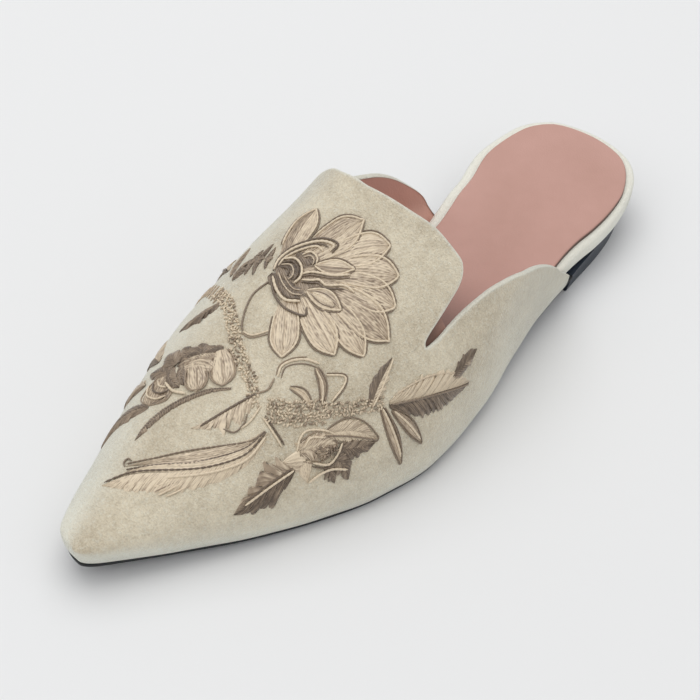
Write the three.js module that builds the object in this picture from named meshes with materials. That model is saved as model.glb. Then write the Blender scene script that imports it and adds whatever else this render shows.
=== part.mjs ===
import * as THREE from 'three';
import { mergeVertices } from 'three/addons/utils/BufferGeometryUtils.js';

// A pointed flat mule for the left foot. Millimetres, Z up, the toe points to -Y.
// Along the shoe, "at" runs from 0 at the back of the heel to 1 at the toe tip.
// "outer" is the side away from the other foot (+X), "inner" the side next to it (-X).

// Driving dimensions
const SHOE_LENGTH = 255;
const UPPER_WALL = 2.0;
const SEAM_GAP = 0.3;
const OUTSOLE_THICKNESS = 1.4;
const OUTSOLE_BEVEL = 0.5;
const HEEL_BREAST_AT = 0.228;
const HEEL_INSET_BACK = 2.4;
const HEEL_INSET_BREAST = 1.2;
const HEEL_TAPER = 1.2;
const HEEL_FOOT_BEVEL = 0.5;
const FOOTBED_TOE_AT = 0.962;
const FOOTBED_TOP_RADIUS = 2.6;
const FOOTBED_FOOT_RADIUS = 2.2;
const INSOLE_THICKNESS = 1.4;
const SECTION_WIDTH_POWER = 2.3;
const SECTION_HEIGHT_POWER = 2.08;

// Half widths of the plan at its widest line
const PLAN = [
  { at: 0.00, outer: 0.0, inner: 0.0 },
  { at: 0.02, outer: 17.4, inner: 18.8 },
  { at: 0.07, outer: 25.6, inner: 26.4 },
  { at: 0.14, outer: 29.5, inner: 27.9 },
  { at: 0.22, outer: 31.4, inner: 25.2 },
  { at: 0.31, outer: 34.3, inner: 27.0 },
  { at: 0.40, outer: 39.2, inner: 32.6 },
  { at: 0.50, outer: 45.2, inner: 36.8 },
  { at: 0.60, outer: 47.4, inner: 41.0 },
  { at: 0.68, outer: 43.9, inner: 39.5 },
  { at: 0.76, outer: 36.5, inner: 34.1 },
  { at: 0.84, outer: 26.9, inner: 26.7 },
  { at: 0.91, outer: 16.7, inner: 19.0 },
  { at: 0.965, outer: 8.4, inner: 12.6 },
  { at: 0.99, outer: 4.2, inner: 8.2 },
  { at: 1.00, outer: 0.0, inner: 0.0 },
];

// Height of the feather line, where the upper meets the sole
const FEATHER = [
  { at: 0.0, height: 12.4 },
  { at: 0.1, height: 10.9 },
  { at: 0.2, height: 9.0 },
  { at: 0.3, height: 6.5 },
  { at: 0.4, height: 3.9 },
  { at: 0.5, height: 2.2 },
  { at: 0.57, height: 1.7 },
  { at: 0.71, height: 1.7 },
  { at: 0.8, height: 2.8 },
  { at: 0.9, height: 4.9 },
  { at: 1.0, height: 8.2 },
];

// How far the feather line lies inside the widest line, and how far below it
const TURN_UNDER = [
  { at: 0.0, outerIn: 0.5, outerUp: 4.0, innerIn: 0.5, innerUp: 4.0 },
  { at: 0.22, outerIn: 0.5, outerUp: 4.5, innerIn: 0.6, innerUp: 4.5 },
  { at: 0.30, outerIn: 1.2, outerUp: 6.3, innerIn: 5.6, innerUp: 11.3 },
  { at: 0.38, outerIn: 2.2, outerUp: 8.2, innerIn: 9.6, innerUp: 20.7 },
  { at: 0.46, outerIn: 2.3, outerUp: 8.3, innerIn: 8.0, innerUp: 18.3 },
  { at: 0.54, outerIn: 1.9, outerUp: 6.8, innerIn: 4.4, innerUp: 10.8 },
  { at: 0.62, outerIn: 1.6, outerUp: 5.4, innerIn: 2.2, innerUp: 6.4 },
  { at: 0.70, outerIn: 1.5, outerUp: 5.0, innerIn: 1.5, innerUp: 5.2 },
  { at: 0.88, outerIn: 1.5, outerUp: 5.0, innerIn: 1.5, innerUp: 5.2 },
  { at: 1.0, outerIn: 1.5, outerUp: 5.6, innerIn: 1.5, innerUp: 5.6 },
];

// The ridge along the instep: its height, and its sideways place
const RIDGE = [
  { at: 0.25, height: 98.0, side: -5.0 },
  { at: 0.35, height: 89.0, side: -6.2 },
  { at: 0.42, height: 80.0, side: -7.0 },
  { at: 0.49, height: 68.0, side: -6.4 },
  { at: 0.56, height: 57.2, side: -5.6 },
  { at: 0.64, height: 47.4, side: -4.8 },
  { at: 0.73, height: 38.9, side: -4.0 },
  { at: 0.82, height: 30.2, side: -2.7 },
  { at: 0.90, height: 23.2, side: -1.7 },
  { at: 0.96, height: 18.4, side: -1.0 },
  { at: 1.00, height: 13.8, side: 0.0 },
];

// Where the quarters end at the back
const QUARTER_END = { outer: 0.25, inner: 0.262 };

// How far a quarter's tail leans back from its widest line to the feather line
const TAIL_LEAN = { outer: 0, inner: 0.012 };

// Height of the collar along the quarters, from the heel breast to the slit
const QUARTER = [
  { at: 0.28, outer: 19.6, inner: 18.4 },
  { at: 0.30, outer: 24.8, inner: 24.4 },
  { at: 0.335, outer: 31.6, inner: 32.8 },
  { at: 0.38, outer: 37.8, inner: 38.6 },
  { at: 0.43, outer: 42.4, inner: 42.3 },
  { at: 0.49, outer: 44.3, inner: 43.4 },
  { at: 0.54, outer: 41.8, inner: 41.9 },
  { at: 0.562, outer: 40.2, inner: 40.3 },
];

// The bottom of the slit beside the tongue
const SLIT = {
  outer: { at: 0.5808, height: 39.6 },
  inner: { at: 0.5745, height: 39.9 },
};

// The edge of the tongue, by its angle past the slit
const TONGUE = [
  { past: 1.3, at: 0.5795 },
  { past: 2.2, at: 0.5765 },
  { past: 2.8, at: 0.567 },
  { past: 3.2, at: 0.540 },
  { past: 3.6, at: 0.511 },
  { past: 4.5, at: 0.500 },
  { past: 5.8, at: 0.4945 },
  { past: 8.1, at: 0.4905 },
  { past: 14.5, at: 0.492 },
  { past: 21.5, at: 0.4935 },
  { past: 33.5, at: 0.500 },
];
const TONGUE_MIDDLE_AT = 0.504;

// How far the outsole's edge lies inside the feather line
const OUTSOLE_SET_IN = [
  { at: 0.0, inset: 0.4 },
  { at: 0.92, inset: 0.4 },
  { at: 1.0, inset: 0.0 },
];

// Thickness of the footbed board
const FOOTBED = [
  { at: 0.0, thickness: 7.6 },
  { at: 0.2, thickness: 7.6 },
  { at: 0.34, thickness: 5.6 },
  { at: 0.5, thickness: 3.4 },
  { at: 0.7, thickness: 2.6 },
  { at: 1.0, thickness: 2.2 },
];

// How far the footbed lies inside the widest line at the heel
const RIM_INSET = [
  { at: 0.0, inset: 0.0 },
  { at: 0.12, inset: 0.2 },
  { at: 0.2, inset: 1.4 },
];

// How far the insole's edge lies inside the footbed's
const INSOLE_MARGIN = [
  { at: 0.0, outer: 4.4, inner: 4.4 },
  { at: 0.05, outer: 3.2, inner: 4.6 },
  { at: 0.1, outer: 1.9, inner: 4.3 },
  { at: 0.2, outer: 2.0, inner: 4.4 },
  { at: 0.28, outer: 1.6, inner: 4.8 },
  { at: 0.36, outer: 0.8, inner: 2.4 },
  { at: 0.45, outer: 0.6, inner: 0.6 },
  { at: 1.0, outer: 0.6, inner: 0.6 },
];

// Curves through the tables

/** Returns a smooth function through the points that never overshoots them. */
function smoothCurve(xs, ys) {
  const last = xs.length - 1;
  const slopes = [];
  const steps = [];
  for (let i = 0; i < last; i += 1) {
    steps.push(xs[i + 1] - xs[i]);
    slopes.push((ys[i + 1] - ys[i]) / steps[i]);
  }
  const tangents = [slopes[0]];
  for (let i = 1; i < last; i += 1) {
    const before = 2 * steps[i] + steps[i - 1];
    const after = steps[i] + 2 * steps[i - 1];
    const turns = slopes[i - 1] * slopes[i] <= 0;
    tangents.push(turns ? 0 : (before + after) / (before / slopes[i - 1] + after / slopes[i]));
  }
  tangents.push(slopes[last - 1]);
  return (x) => {
    const held = Math.min(Math.max(x, xs[0]), xs[last]);
    let i = 0;
    while (i < last - 1 && held > xs[i + 1]) {
      i += 1;
    }
    const t = (held - xs[i]) / steps[i];
    const back = 1 - t;
    const from = ys[i] * (1 + 2 * t) * back * back + tangents[i] * steps[i] * t * back * back;
    const to = ys[i + 1] * t * t * (3 - 2 * t) - tangents[i + 1] * steps[i] * t * t * back;
    return from + to;
  };
}

/** Turns a place along the shoe into an angle, so that both ends come out round. */
function turn(at) {
  return Math.acos(Math.min(Math.max(1 - 2 * at, -1), 1));
}

function alongShoe(rows, column) {
  return smoothCurve(rows.map((row) => row.at), rows.map((row) => row[column]));
}

function alongTurn(rows, column) {
  const curve = smoothCurve(rows.map((row) => turn(row.at)), rows.map((row) => row[column]));
  return (at) => curve(turn(at));
}

const OUTER = 1;
const INNER = -1;
const outerHalf = alongTurn(PLAN, 'outer');
const innerHalf = alongTurn(PLAN, 'inner');
const featherHeight = alongShoe(FEATHER, 'height');
const outerIn = alongShoe(TURN_UNDER, 'outerIn');
const innerIn = alongShoe(TURN_UNDER, 'innerIn');
const outerUp = alongShoe(TURN_UNDER, 'outerUp');
const innerUp = alongShoe(TURN_UNDER, 'innerUp');
const ridgeHeight = alongTurn(RIDGE, 'height');
const ridgeSide = alongTurn(RIDGE, 'side');
const footbedThickness = alongShoe(FOOTBED, 'thickness');
const rimInset = alongShoe(RIM_INSET, 'inset');
const outsoleSetIn = alongShoe(OUTSOLE_SET_IN, 'inset');
const outerMargin = alongShoe(INSOLE_MARGIN, 'outer');
const innerMargin = alongShoe(INSOLE_MARGIN, 'inner');

const halfWidth = (at, side) => (side === OUTER ? outerHalf(at) : innerHalf(at));
const tuckIn = (at, side) => (side === OUTER ? outerIn(at) : innerIn(at));
const tuckUp = (at, side) => (side === OUTER ? outerUp(at) : innerUp(at));
const quarterEnd = (side) => (side === OUTER ? QUARTER_END.outer : QUARTER_END.inner);
const tailLean = (side) => (side === OUTER ? TAIL_LEAN.outer : TAIL_LEAN.inner);
const placeY = (at) => SHOE_LENGTH * (0.5 - at);
const atOfY = (y) => 0.5 - y / SHOE_LENGTH;
const widestHeight = (at, side) => featherHeight(at) + tuckUp(at, side);

// The last

/** A point of the plan's widest line, with the direction that leads out of the shoe there. */
function planPoint(at, side) {
  const angle = turn(at);
  const step = 1e-3;
  const low = Math.max(angle - step, 0);
  const high = Math.min(angle + step, Math.PI);
  const placeOf = (a) => (1 - Math.cos(a)) / 2;
  const spread = (halfWidth(placeOf(high), side) - halfWidth(placeOf(low), side)) / (high - low);
  const out = new THREE.Vector3(side * 0.5 * SHOE_LENGTH * Math.sin(angle), spread, 0).normalize();
  return { point: new THREE.Vector3(side * halfWidth(at, side), placeY(at), 0), out };
}

/** A point of the upper's outside; the angle climbs from the outer widest line to the inner one. */
function bodyPoint(at, angle) {
  const side = angle <= Math.PI / 2 ? OUTER : INNER;
  const across = Math.abs(Math.cos(angle)) ** (2 / SECTION_WIDTH_POWER);
  const up = Math.abs(Math.sin(angle)) ** (2 / SECTION_HEIGHT_POWER);
  const foot = widestHeight(at, side);
  const centre = ridgeSide(at);
  const reach = side * halfWidth(at, side) - centre;
  return new THREE.Vector3(centre + reach * across, placeY(at), foot + (ridgeHeight(at) - foot) * up);
}

/** The direction out of the upper's outside. */
function bodyNormal(at, angle) {
  if (at > 0.9995) {
    return new THREE.Vector3(0, -1, 0);
  }
  const step = 2e-3;
  const low = Math.max(angle - step, 0);
  const high = Math.min(angle + step, Math.PI);
  const around = bodyPoint(at, high).sub(bodyPoint(at, low));
  const reach = Math.min(2e-4, 0.4 * (1 - at));
  const along = bodyPoint(at + reach, angle).sub(bodyPoint(at - reach, angle));
  return around.cross(along).normalize();
}

/** The turned-under foot of the wall; the depth runs from 0 at the widest line to 1 at the feather line. */
function footPoint(at, side, depth) {
  const { point, out } = planPoint(at, side);
  point.addScaledVector(out, -tuckIn(at, side) * depth * depth);
  point.z = widestHeight(at, side) - tuckUp(at, side) * depth;
  return { point, out };
}

// The collar

/** The angle up the section at which the outside has this height. */
function angleAtHeight(at, height, side) {
  const foot = widestHeight(at, side);
  const share = Math.min(Math.max((height - foot) / (ridgeHeight(at) - foot), 0), 1);
  return Math.asin(share ** (SECTION_HEIGHT_POWER / 2));
}

/** The collar of one side: the angles of its rows, and a curve from the angle to the place along. */
function collarSide(side) {
  const column = side === OUTER ? 'outer' : 'inner';
  const slit = SLIT[column];
  const slitAngle = angleAtHeight(slit.at, slit.height, side);
  const angles = [0];
  const places = [quarterEnd(side) + tailLean(side)];
  for (const row of QUARTER) {
    angles.push(angleAtHeight(row.at, row[column], side));
    places.push(row.at);
  }
  angles.push(slitAngle);
  places.push(slit.at);
  for (const row of TONGUE) {
    angles.push(slitAngle + THREE.MathUtils.degToRad(row.past));
    places.push(row.at);
  }
  angles.push(Math.PI / 2);
  places.push(TONGUE_MIDDLE_AT);
  return { angles, curve: smoothCurve(angles, places) };
}

/** Splits each step between neighbouring values into equal shares, but leaves a narrow step whole. */
function refine(values, shares, narrow) {
  const out = [values[0]];
  for (let i = 1; i < values.length; i += 1) {
    const step = values[i] - values[i - 1];
    const parts = step < narrow ? 1 : shares;
    for (let k = 1; k <= parts; k += 1) {
      out.push(values[i - 1] + (step * k) / parts);
    }
  }
  return out;
}

// Closed skins from grids of points

/** Collects points and faces, then welds them into one closed geometry. */
class Skin {
  constructor() {
    this.points = [];
    this.faces = [];
  }

  add(point) {
    this.points.push(point.x, point.y, point.z);
    return this.points.length / 3 - 1;
  }

  quad(a, b, c, d) {
    this.faces.push(a, b, c, a, c, d);
  }

  geometry() {
    const raw = new THREE.BufferGeometry();
    raw.setAttribute('position', new THREE.Float32BufferAttribute(this.points, 3));
    raw.setIndex(this.faces);
    const welded = mergeVertices(raw, 1e-4);
    const index = welded.getIndex().array;
    const kept = [];
    for (let i = 0; i < index.length; i += 3) {
      const [a, b, c] = [index[i], index[i + 1], index[i + 2]];
      if (a !== b && b !== c && c !== a) {
        kept.push(a, b, c);
      }
    }
    welded.setIndex(kept);
    welded.computeVertexNormals();
    return welded;
  }
}

// Upper

const UPPER_ROWS = 26;
const NARROW_STEP = THREE.MathUtils.degToRad(0.95);
const FOOT_DEPTHS = [1, 0.8, 0.6, 0.4, 0.2];

/** One column of the upper from the toe to the collar, outside and inside. */
function upperColumn(pick, end) {
  const column = [];
  for (let row = 0; row <= UPPER_ROWS; row += 1) {
    const share = 1 - Math.cos((0.5 * Math.PI * row) / UPPER_ROWS);
    const at = 1 - (1 - end) * share;
    column.push(pick(at));
  }
  return column;
}

function buildUpper() {
  const outer = collarSide(OUTER);
  const inner = collarSide(INNER);
  const columns = [];
  const addFoot = (side, depth) => {
    columns.push(upperColumn((at) => {
      const { point, out } = footPoint(at, side, depth);
      return { outside: point, inside: point.clone().addScaledVector(out, -UPPER_WALL) };
    }, quarterEnd(side) + tailLean(side) * (1 - depth)));
  };
  const addBody = (angle, end) => {
    columns.push(upperColumn((at) => {
      const point = bodyPoint(at, angle);
      const inside = point.clone().addScaledVector(bodyNormal(at, angle), -UPPER_WALL);
      return { outside: point, inside };
    }, end));
  };
  FOOT_DEPTHS.forEach((depth) => addFoot(OUTER, depth));
  refine(outer.angles, 2, NARROW_STEP).forEach((angle) => addBody(angle, outer.curve(angle)));
  const down = refine(inner.angles, 2, NARROW_STEP).reverse().slice(1);
  down.forEach((angle) => addBody(Math.PI - angle, inner.curve(angle)));
  [...FOOT_DEPTHS].reverse().forEach((depth) => addFoot(INNER, depth));

  const skin = new Skin();
  const outside = columns.map((column) => column.map((cell) => skin.add(cell.outside)));
  const inside = columns.map((column) => column.map((cell) => skin.add(cell.inside)));
  const lastColumn = columns.length - 1;
  for (let c = 0; c < lastColumn; c += 1) {
    for (let r = 0; r < UPPER_ROWS; r += 1) {
      skin.quad(outside[c][r], outside[c][r + 1], outside[c + 1][r + 1], outside[c + 1][r]);
      skin.quad(inside[c][r], inside[c + 1][r], inside[c + 1][r + 1], inside[c][r + 1]);
    }
    const end = UPPER_ROWS;
    skin.quad(outside[c][end], inside[c][end], inside[c + 1][end], outside[c + 1][end]);
  }
  for (let r = 0; r < UPPER_ROWS; r += 1) {
    skin.quad(outside[0][r], inside[0][r], inside[0][r + 1], outside[0][r + 1]);
    const last = lastColumn;
    skin.quad(outside[last][r], outside[last][r + 1], inside[last][r + 1], inside[last][r]);
  }
  return skin.geometry();
}

// Layers of the bottom

/**
 * A layer of the bottom between two places along the shoe.
 * Each ring has an inset from the plan's widest line and a height, both worked out at a place.
 * At the breast of the heel the layer is cut straight across.
 */
function buildLayer(from, to, steps, rings) {
  const skin = new Skin();
  const grid = rings.map((ring) => [OUTER, INNER].map((side) => {
    const line = [];
    for (let k = 0; k <= steps; k += 1) {
      const angle = turn(from) + ((turn(to) - turn(from)) * k) / steps;
      const at = (1 - Math.cos(angle)) / 2;
      const { point, out } = planPoint(at, side);
      point.addScaledVector(out, -ring.inset(at, side));
      if (Math.abs(at - HEEL_BREAST_AT) < 0.002) {
        point.y = placeY(at);
      }
      point.z = ring.height(atOfY(point.y));
      line.push(skin.add(point));
    }
    return line;
  }));
  const walls = grid.length - 1;
  for (let k = 0; k < steps; k += 1) {
    for (let r = 0; r < walls; r += 1) {
      const [outerLow, innerLow] = grid[r];
      const [outerHigh, innerHigh] = grid[r + 1];
      skin.quad(outerLow[k + 1], outerLow[k], outerHigh[k], outerHigh[k + 1]);
      skin.quad(innerLow[k], innerLow[k + 1], innerHigh[k + 1], innerHigh[k]);
    }
    const [outerFoot, innerFoot] = grid[0];
    const [outerTop, innerTop] = grid[walls];
    skin.quad(outerFoot[k], outerFoot[k + 1], innerFoot[k + 1], innerFoot[k]);
    skin.quad(outerTop[k], innerTop[k], innerTop[k + 1], outerTop[k + 1]);
  }
  for (let r = 0; r < walls; r += 1) {
    const [outerLow, innerLow] = grid[r];
    const [outerHigh, innerHigh] = grid[r + 1];
    skin.quad(outerLow[0], innerLow[0], innerHigh[0], outerHigh[0]);
    skin.quad(innerLow[steps], outerLow[steps], outerHigh[steps], innerHigh[steps]);
  }
  return skin.geometry();
}

function buildOutsole() {
  const top = (at) => featherHeight(at) - SEAM_GAP;
  const tread = (at) => top(at) - OUTSOLE_THICKNESS;
  const edge = (at, side) => tuckIn(at, side) + outsoleSetIn(at);
  return buildLayer(HEEL_BREAST_AT + SEAM_GAP / SHOE_LENGTH, 1, 56, [
    { inset: (at, side) => edge(at, side) + OUTSOLE_BEVEL, height: tread },
    { inset: edge, height: (at) => tread(at) + OUTSOLE_BEVEL },
    { inset: edge, height: top },
  ]);
}

function buildHeel() {
  const top = (at) => featherHeight(at) - SEAM_GAP;
  const edge = (at) => THREE.MathUtils.lerp(HEEL_INSET_BACK, HEEL_INSET_BREAST, at / HEEL_BREAST_AT);
  return buildLayer(0, HEEL_BREAST_AT, 28, [
    { inset: (at) => edge(at) + HEEL_TAPER + HEEL_FOOT_BEVEL, height: () => 0 },
    { inset: (at) => edge(at) + HEEL_TAPER, height: () => HEEL_FOOT_BEVEL },
    { inset: edge, height: top },
  ]);
}

const wallInset = (at, side) => tuckIn(at, side) + UPPER_WALL + SEAM_GAP;

/** The footbed's edge: the open rim at the heel, then inside the upper's wall. */
function footbedInset(at, side) {
  const blend = THREE.MathUtils.smoothstep(at, 0.17, quarterEnd(side) - 0.006);
  return rimInset(at) + (wallInset(at, side) - rimInset(at)) * blend;
}

function footbedTop(at) {
  return featherHeight(at) + footbedThickness(at);
}

function buildFootbed() {
  const rings = [];
  const foot = (at) => featherHeight(at);
  const footRadius = (at) => Math.min(FOOTBED_FOOT_RADIUS, 0.4 * footbedThickness(at));
  const topRadius = (at) => Math.min(FOOTBED_TOP_RADIUS, 0.5 * footbedThickness(at));
  const lean = [90, 45, 0].map(THREE.MathUtils.degToRad);
  lean.forEach((angle) => rings.push({
    inset: (at, side) => footbedInset(at, side) + footRadius(at) * (1 - Math.cos(angle)),
    height: (at) => foot(at) + footRadius(at) * (1 - Math.sin(angle)),
  }));
  [...lean].reverse().forEach((angle) => rings.push({
    inset: (at, side) => footbedInset(at, side) + topRadius(at) * (1 - Math.cos(angle)),
    height: (at) => footbedTop(at) - topRadius(at) * (1 - Math.sin(angle)),
  }));
  return buildLayer(0, FOOTBED_TOE_AT, 44, rings);
}

function buildInsole() {
  const seat = (at) => footbedTop(at) + SEAM_GAP;
  const margin = (at, side) => (side === OUTER ? outerMargin(at) : innerMargin(at));
  const edge = (at, side) => footbedInset(at, side) + margin(at, side);
  return buildLayer(0, FOOTBED_TOE_AT - 0.004, 44, [
    { inset: edge, height: seat },
    { inset: edge, height: (at) => seat(at) + 0.6 * INSOLE_THICKNESS },
    { inset: (at, side) => edge(at, side) + 0.5, height: (at) => seat(at) + INSOLE_THICKNESS },
  ]);
}

// Assembly

const shoe = new THREE.Group();
shoe.name = 'mule';

function addPiece(name, geometry, color, roughness) {
  const material = new THREE.MeshStandardMaterial({ color, roughness, metalness: 0 });
  const piece = new THREE.Mesh(geometry, material);
  piece.name = name;
  shoe.add(piece);
}

addPiece('upper', buildUpper(), 0xc6bca6, 0.9);
addPiece('outsole', buildOutsole(), 0x17181a, 0.6);
addPiece('heel', buildHeel(), 0x213041, 0.45);
addPiece('footbed', buildFootbed(), 0xc6bca6, 0.9);
addPiece('insole', buildInsole(), 0xc79c90, 0.55);

// The origin lies on the floor under the middle of the whole shoe
const bounds = new THREE.Box3().setFromObject(shoe);
const middle = bounds.getCenter(new THREE.Vector3());
shoe.children.forEach((piece) => piece.geometry.translate(-middle.x, -middle.y, -bounds.min.z));

export default shoe;
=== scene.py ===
"""Pointed flat velvet mule for the left foot, with raised thread flowers on its vamp.

The scene is in metres. The last's tables are in millimetres, with the toe towards -Y and the
outer side of the foot towards +X. Along the shoe, "at" runs from 0 at the back of the heel to 1
at the toe tip. Thread work is drawn on a flat chart: "across" is the distance over the skin from
the ridge of the instep, positive to the outer side, and "along" the distance back from the toe.
"""
import logging
import math
from dataclasses import dataclass, field, replace
from enum import Enum
from typing import Any, Callable, Sequence

import bpy
import numpy as np
from mathutils import Matrix, Vector


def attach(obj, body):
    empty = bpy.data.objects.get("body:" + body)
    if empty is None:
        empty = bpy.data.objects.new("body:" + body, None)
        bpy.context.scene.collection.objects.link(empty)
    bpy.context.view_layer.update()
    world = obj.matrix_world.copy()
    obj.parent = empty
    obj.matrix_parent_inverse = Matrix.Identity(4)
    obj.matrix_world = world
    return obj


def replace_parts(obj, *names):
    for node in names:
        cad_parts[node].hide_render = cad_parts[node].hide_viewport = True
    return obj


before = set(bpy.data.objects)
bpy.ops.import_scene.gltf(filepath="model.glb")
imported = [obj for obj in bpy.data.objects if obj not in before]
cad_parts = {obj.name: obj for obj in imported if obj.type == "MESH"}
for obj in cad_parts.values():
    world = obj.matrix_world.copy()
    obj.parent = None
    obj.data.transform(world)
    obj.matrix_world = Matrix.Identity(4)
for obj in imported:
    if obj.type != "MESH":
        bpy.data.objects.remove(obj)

LOG = logging.getLogger("mule")
MM = 0.001

Array = np.ndarray
Pair = tuple[float, float]
Triple = tuple[float, float, float]
Colour = Triple
Path = tuple[Pair, ...]
Inset = Callable[[Array, int], Array]
Height = Callable[[Array], Array]
Rings = list[tuple[Inset, Height]]


# Shading

@dataclass(frozen=True)
class Term:
    """A value in a material's node tree; arithmetic on it adds Math nodes."""

    shader: "Shader"
    socket: bpy.types.NodeSocket

    def _math(self, operation: str, first: Any, second: Any) -> "Term":
        """Adds one Math node and returns its output."""
        node = self.shader.node("ShaderNodeMath", {"operation": operation}, {0: first, 1: second})
        return Term(self.shader, node.outputs[0])

    def __add__(self, other: Any) -> "Term":
        """Adds a value or a number."""
        return self._math("ADD", self, other)

    def __radd__(self, other: Any) -> "Term":
        """Adds this to a number."""
        return self._math("ADD", other, self)

    def __sub__(self, other: Any) -> "Term":
        """Takes a value or a number away."""
        return self._math("SUBTRACT", self, other)

    def __rmul__(self, other: Any) -> "Term":
        """Multiplies a number by this."""
        return self._math("MULTIPLY", other, self)


class Shader:
    """The node tree of one material, with a Principled surface."""

    lumpiness = 0.6

    def __init__(self, name: str) -> None:
        """Starts an empty material with a surface and an output."""
        self.material = bpy.data.materials.new(name)
        self.material.use_nodes = True
        self.tree = self.material.node_tree
        self.tree.nodes.clear()
        self.surface = self.node("ShaderNodeBsdfPrincipled")
        self.node("ShaderNodeOutputMaterial", inputs={"Surface": self.surface.outputs[0]})

    def node(self, kind: str, settings: dict[str, Any] | None = None,
             inputs: dict[str | int, Any] | None = None) -> bpy.types.Node:
        """Adds a node.

        Args:
            kind: The node's type.
            settings: Its own settings, set before its sockets.
            inputs: Values or links of its sockets, by name or number.

        Returns:
            The new node.
        """
        node = self.tree.nodes.new(kind)
        for key, value in (settings or {}).items():
            setattr(node, key, value)
        self.connect(node, inputs or {})
        return node

    def connect(self, node: bpy.types.Node, inputs: dict[str | int, Any]) -> None:
        """Sets or links sockets of a node."""
        for key, value in inputs.items():
            socket = value.socket if isinstance(value, Term) else value
            if isinstance(socket, bpy.types.NodeSocket):
                self.tree.links.new(socket, node.inputs[key])
            else:
                node.inputs[key].default_value = socket

    def place(self, stretch: Triple = (1.0, 1.0, 1.0)) -> bpy.types.NodeSocket:
        """Returns the place on the object, stretched along its axes."""
        spot = self.node("ShaderNodeTexCoord").outputs["Object"]
        scaled = self.node("ShaderNodeVectorMath", {"operation": "MULTIPLY"}, {0: spot, 1: stretch})
        return scaled.outputs[0]

    def noise(self, scale: float, detail: float = 2.0, stretch: Triple = (1.0, 1.0, 1.0)) -> Term:
        """Returns soft noise from 0 to 1.

        Args:
            scale: Number of lumps in a metre.
            detail: Finer layers added to it.
            stretch: Scale of each axis.

        Returns:
            The noise.
        """
        inputs = {"Vector": self.place(stretch), "Scale": scale, "Detail": detail,
                  "Roughness": self.lumpiness}
        return Term(self, self.node("ShaderNodeTexNoise", inputs=inputs).outputs[0])

    def pores(self, scale: float) -> Term:
        """Returns the distance to the nearest pore of a scattered grain."""
        inputs = {"Vector": self.place(), "Scale": scale}
        return Term(self, self.node("ShaderNodeTexVoronoi", inputs=inputs).outputs["Distance"])

    def painted(self, name: str) -> Term:
        """Returns a value stored on the mesh's points."""
        return Term(self, self.node("ShaderNodeAttribute", {"attribute_name": name}).outputs["Fac"])

    def blend(self, share: Term, low: Any, high: Any) -> bpy.types.NodeSocket:
        """Returns a colour between two colours.

        Args:
            share: 0 for the first colour, 1 for the second.
            low: The first colour, or a socket.
            high: The second colour, or a socket.

        Returns:
            The mixed colour's socket.
        """
        full = [c if isinstance(c, bpy.types.NodeSocket) else (*c, 1.0) for c in (low, high)]
        node = self.node("ShaderNodeMix", {"data_type": "RGBA"}, {0: share, 6: full[0], 7: full[1]})
        return node.outputs[2]

    def ramp(self, value: Term, low: float, high: float) -> Term:
        """Returns the value taken from a range to 0 and 1, and held there."""
        inputs = {"Value": value, "From Min": low, "From Max": high}
        return Term(self, self.node("ShaderNodeMapRange", {"clamp": True}, inputs).outputs[0])

    def bump(self, height: Term, depth: float, strength: float) -> None:
        """Lets a height, of a depth in metres, tilt the surface."""
        inputs = {"Height": height, "Distance": depth, "Strength": strength}
        self.dress({"Normal": self.node("ShaderNodeBump", inputs=inputs).outputs[0]})

    def dress(self, inputs: dict[str, Any]) -> None:
        """Sets or links sockets of the surface."""
        self.connect(self.surface, inputs)


@dataclass(frozen=True)
class Velvet:
    """Short cotton pile: matte face on, pale along its silhouettes, brushed in patches; a painted
    sheen mixes it towards a pale colour where the mesh's edge value is set and in scattered specks.
    """

    name: str = "velvet"
    pile: Colour = (0.79, 0.71, 0.55)
    brushed: Colour = (0.475, 0.40, 0.29)
    # The pale colour of the painted sheen.
    painted_sheen_colour: Colour = (0.78, 0.79, 0.71)
    sheen: float = 1.0
    sheen_roughness: float = 0.33
    sheen_tint: Colour = (0.95, 0.98, 0.94)
    patch_scale: float = 48.0
    patch_stretch: Triple = (1.0, 0.7, 1.0)
    tuft_scale: float = 450.0
    pile_scale: float = 1900.0
    sheen_speck_scale: float = 1250.0
    shade_shares: Triple = (0.42, 0.24, 0.34)
    shade_span: Pair = (0.36, 0.63)
    sheen_speck_span: Pair = (0.5, 0.72)
    painted_sheen_share: float = 0.9
    sheen_speck_share: float = 0.32
    roughness: float = 0.92
    specular: float = 0.15
    bump_shares: Pair = (0.3, 0.7)
    depth: float = 0.0011
    strength: float = 0.65

    def material(self) -> bpy.types.Material:
        """Returns the material."""
        s = Shader(self.name)
        patches = s.noise(self.patch_scale, 2.0, self.patch_stretch)
        tufts = s.noise(self.tuft_scale, 3.0)
        pile = s.noise(self.pile_scale, 2.0)
        wide, middle, fine = self.shade_shares
        shade = s.ramp(wide * patches + middle * tufts + fine * pile, *self.shade_span)
        # Painted sheen: scattered specks and the mesh's edge value mix the pile towards its pale
        # sheen colour.
        sheen_specks = s.ramp(s.noise(self.sheen_speck_scale, 2.0), *self.sheen_speck_span)
        pale = s.ramp(self.painted_sheen_share * s.painted("edge") + self.sheen_speck_share * sheen_specks, 0.0, 1.0)
        body = s.blend(shade, self.brushed, self.pile)
        s.dress({
            "Base Color": s.blend(pale, body, self.painted_sheen_colour),
            "Roughness": self.roughness,
            "Specular IOR Level": self.specular,
            "Sheen Weight": self.sheen,
            "Sheen Roughness": self.sheen_roughness,
            "Sheen Tint": (*self.sheen_tint, 1.0),
        })
        coarse, close = self.bump_shares
        s.bump(coarse * tufts + close * pile, self.depth, self.strength)
        return s.material


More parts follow.
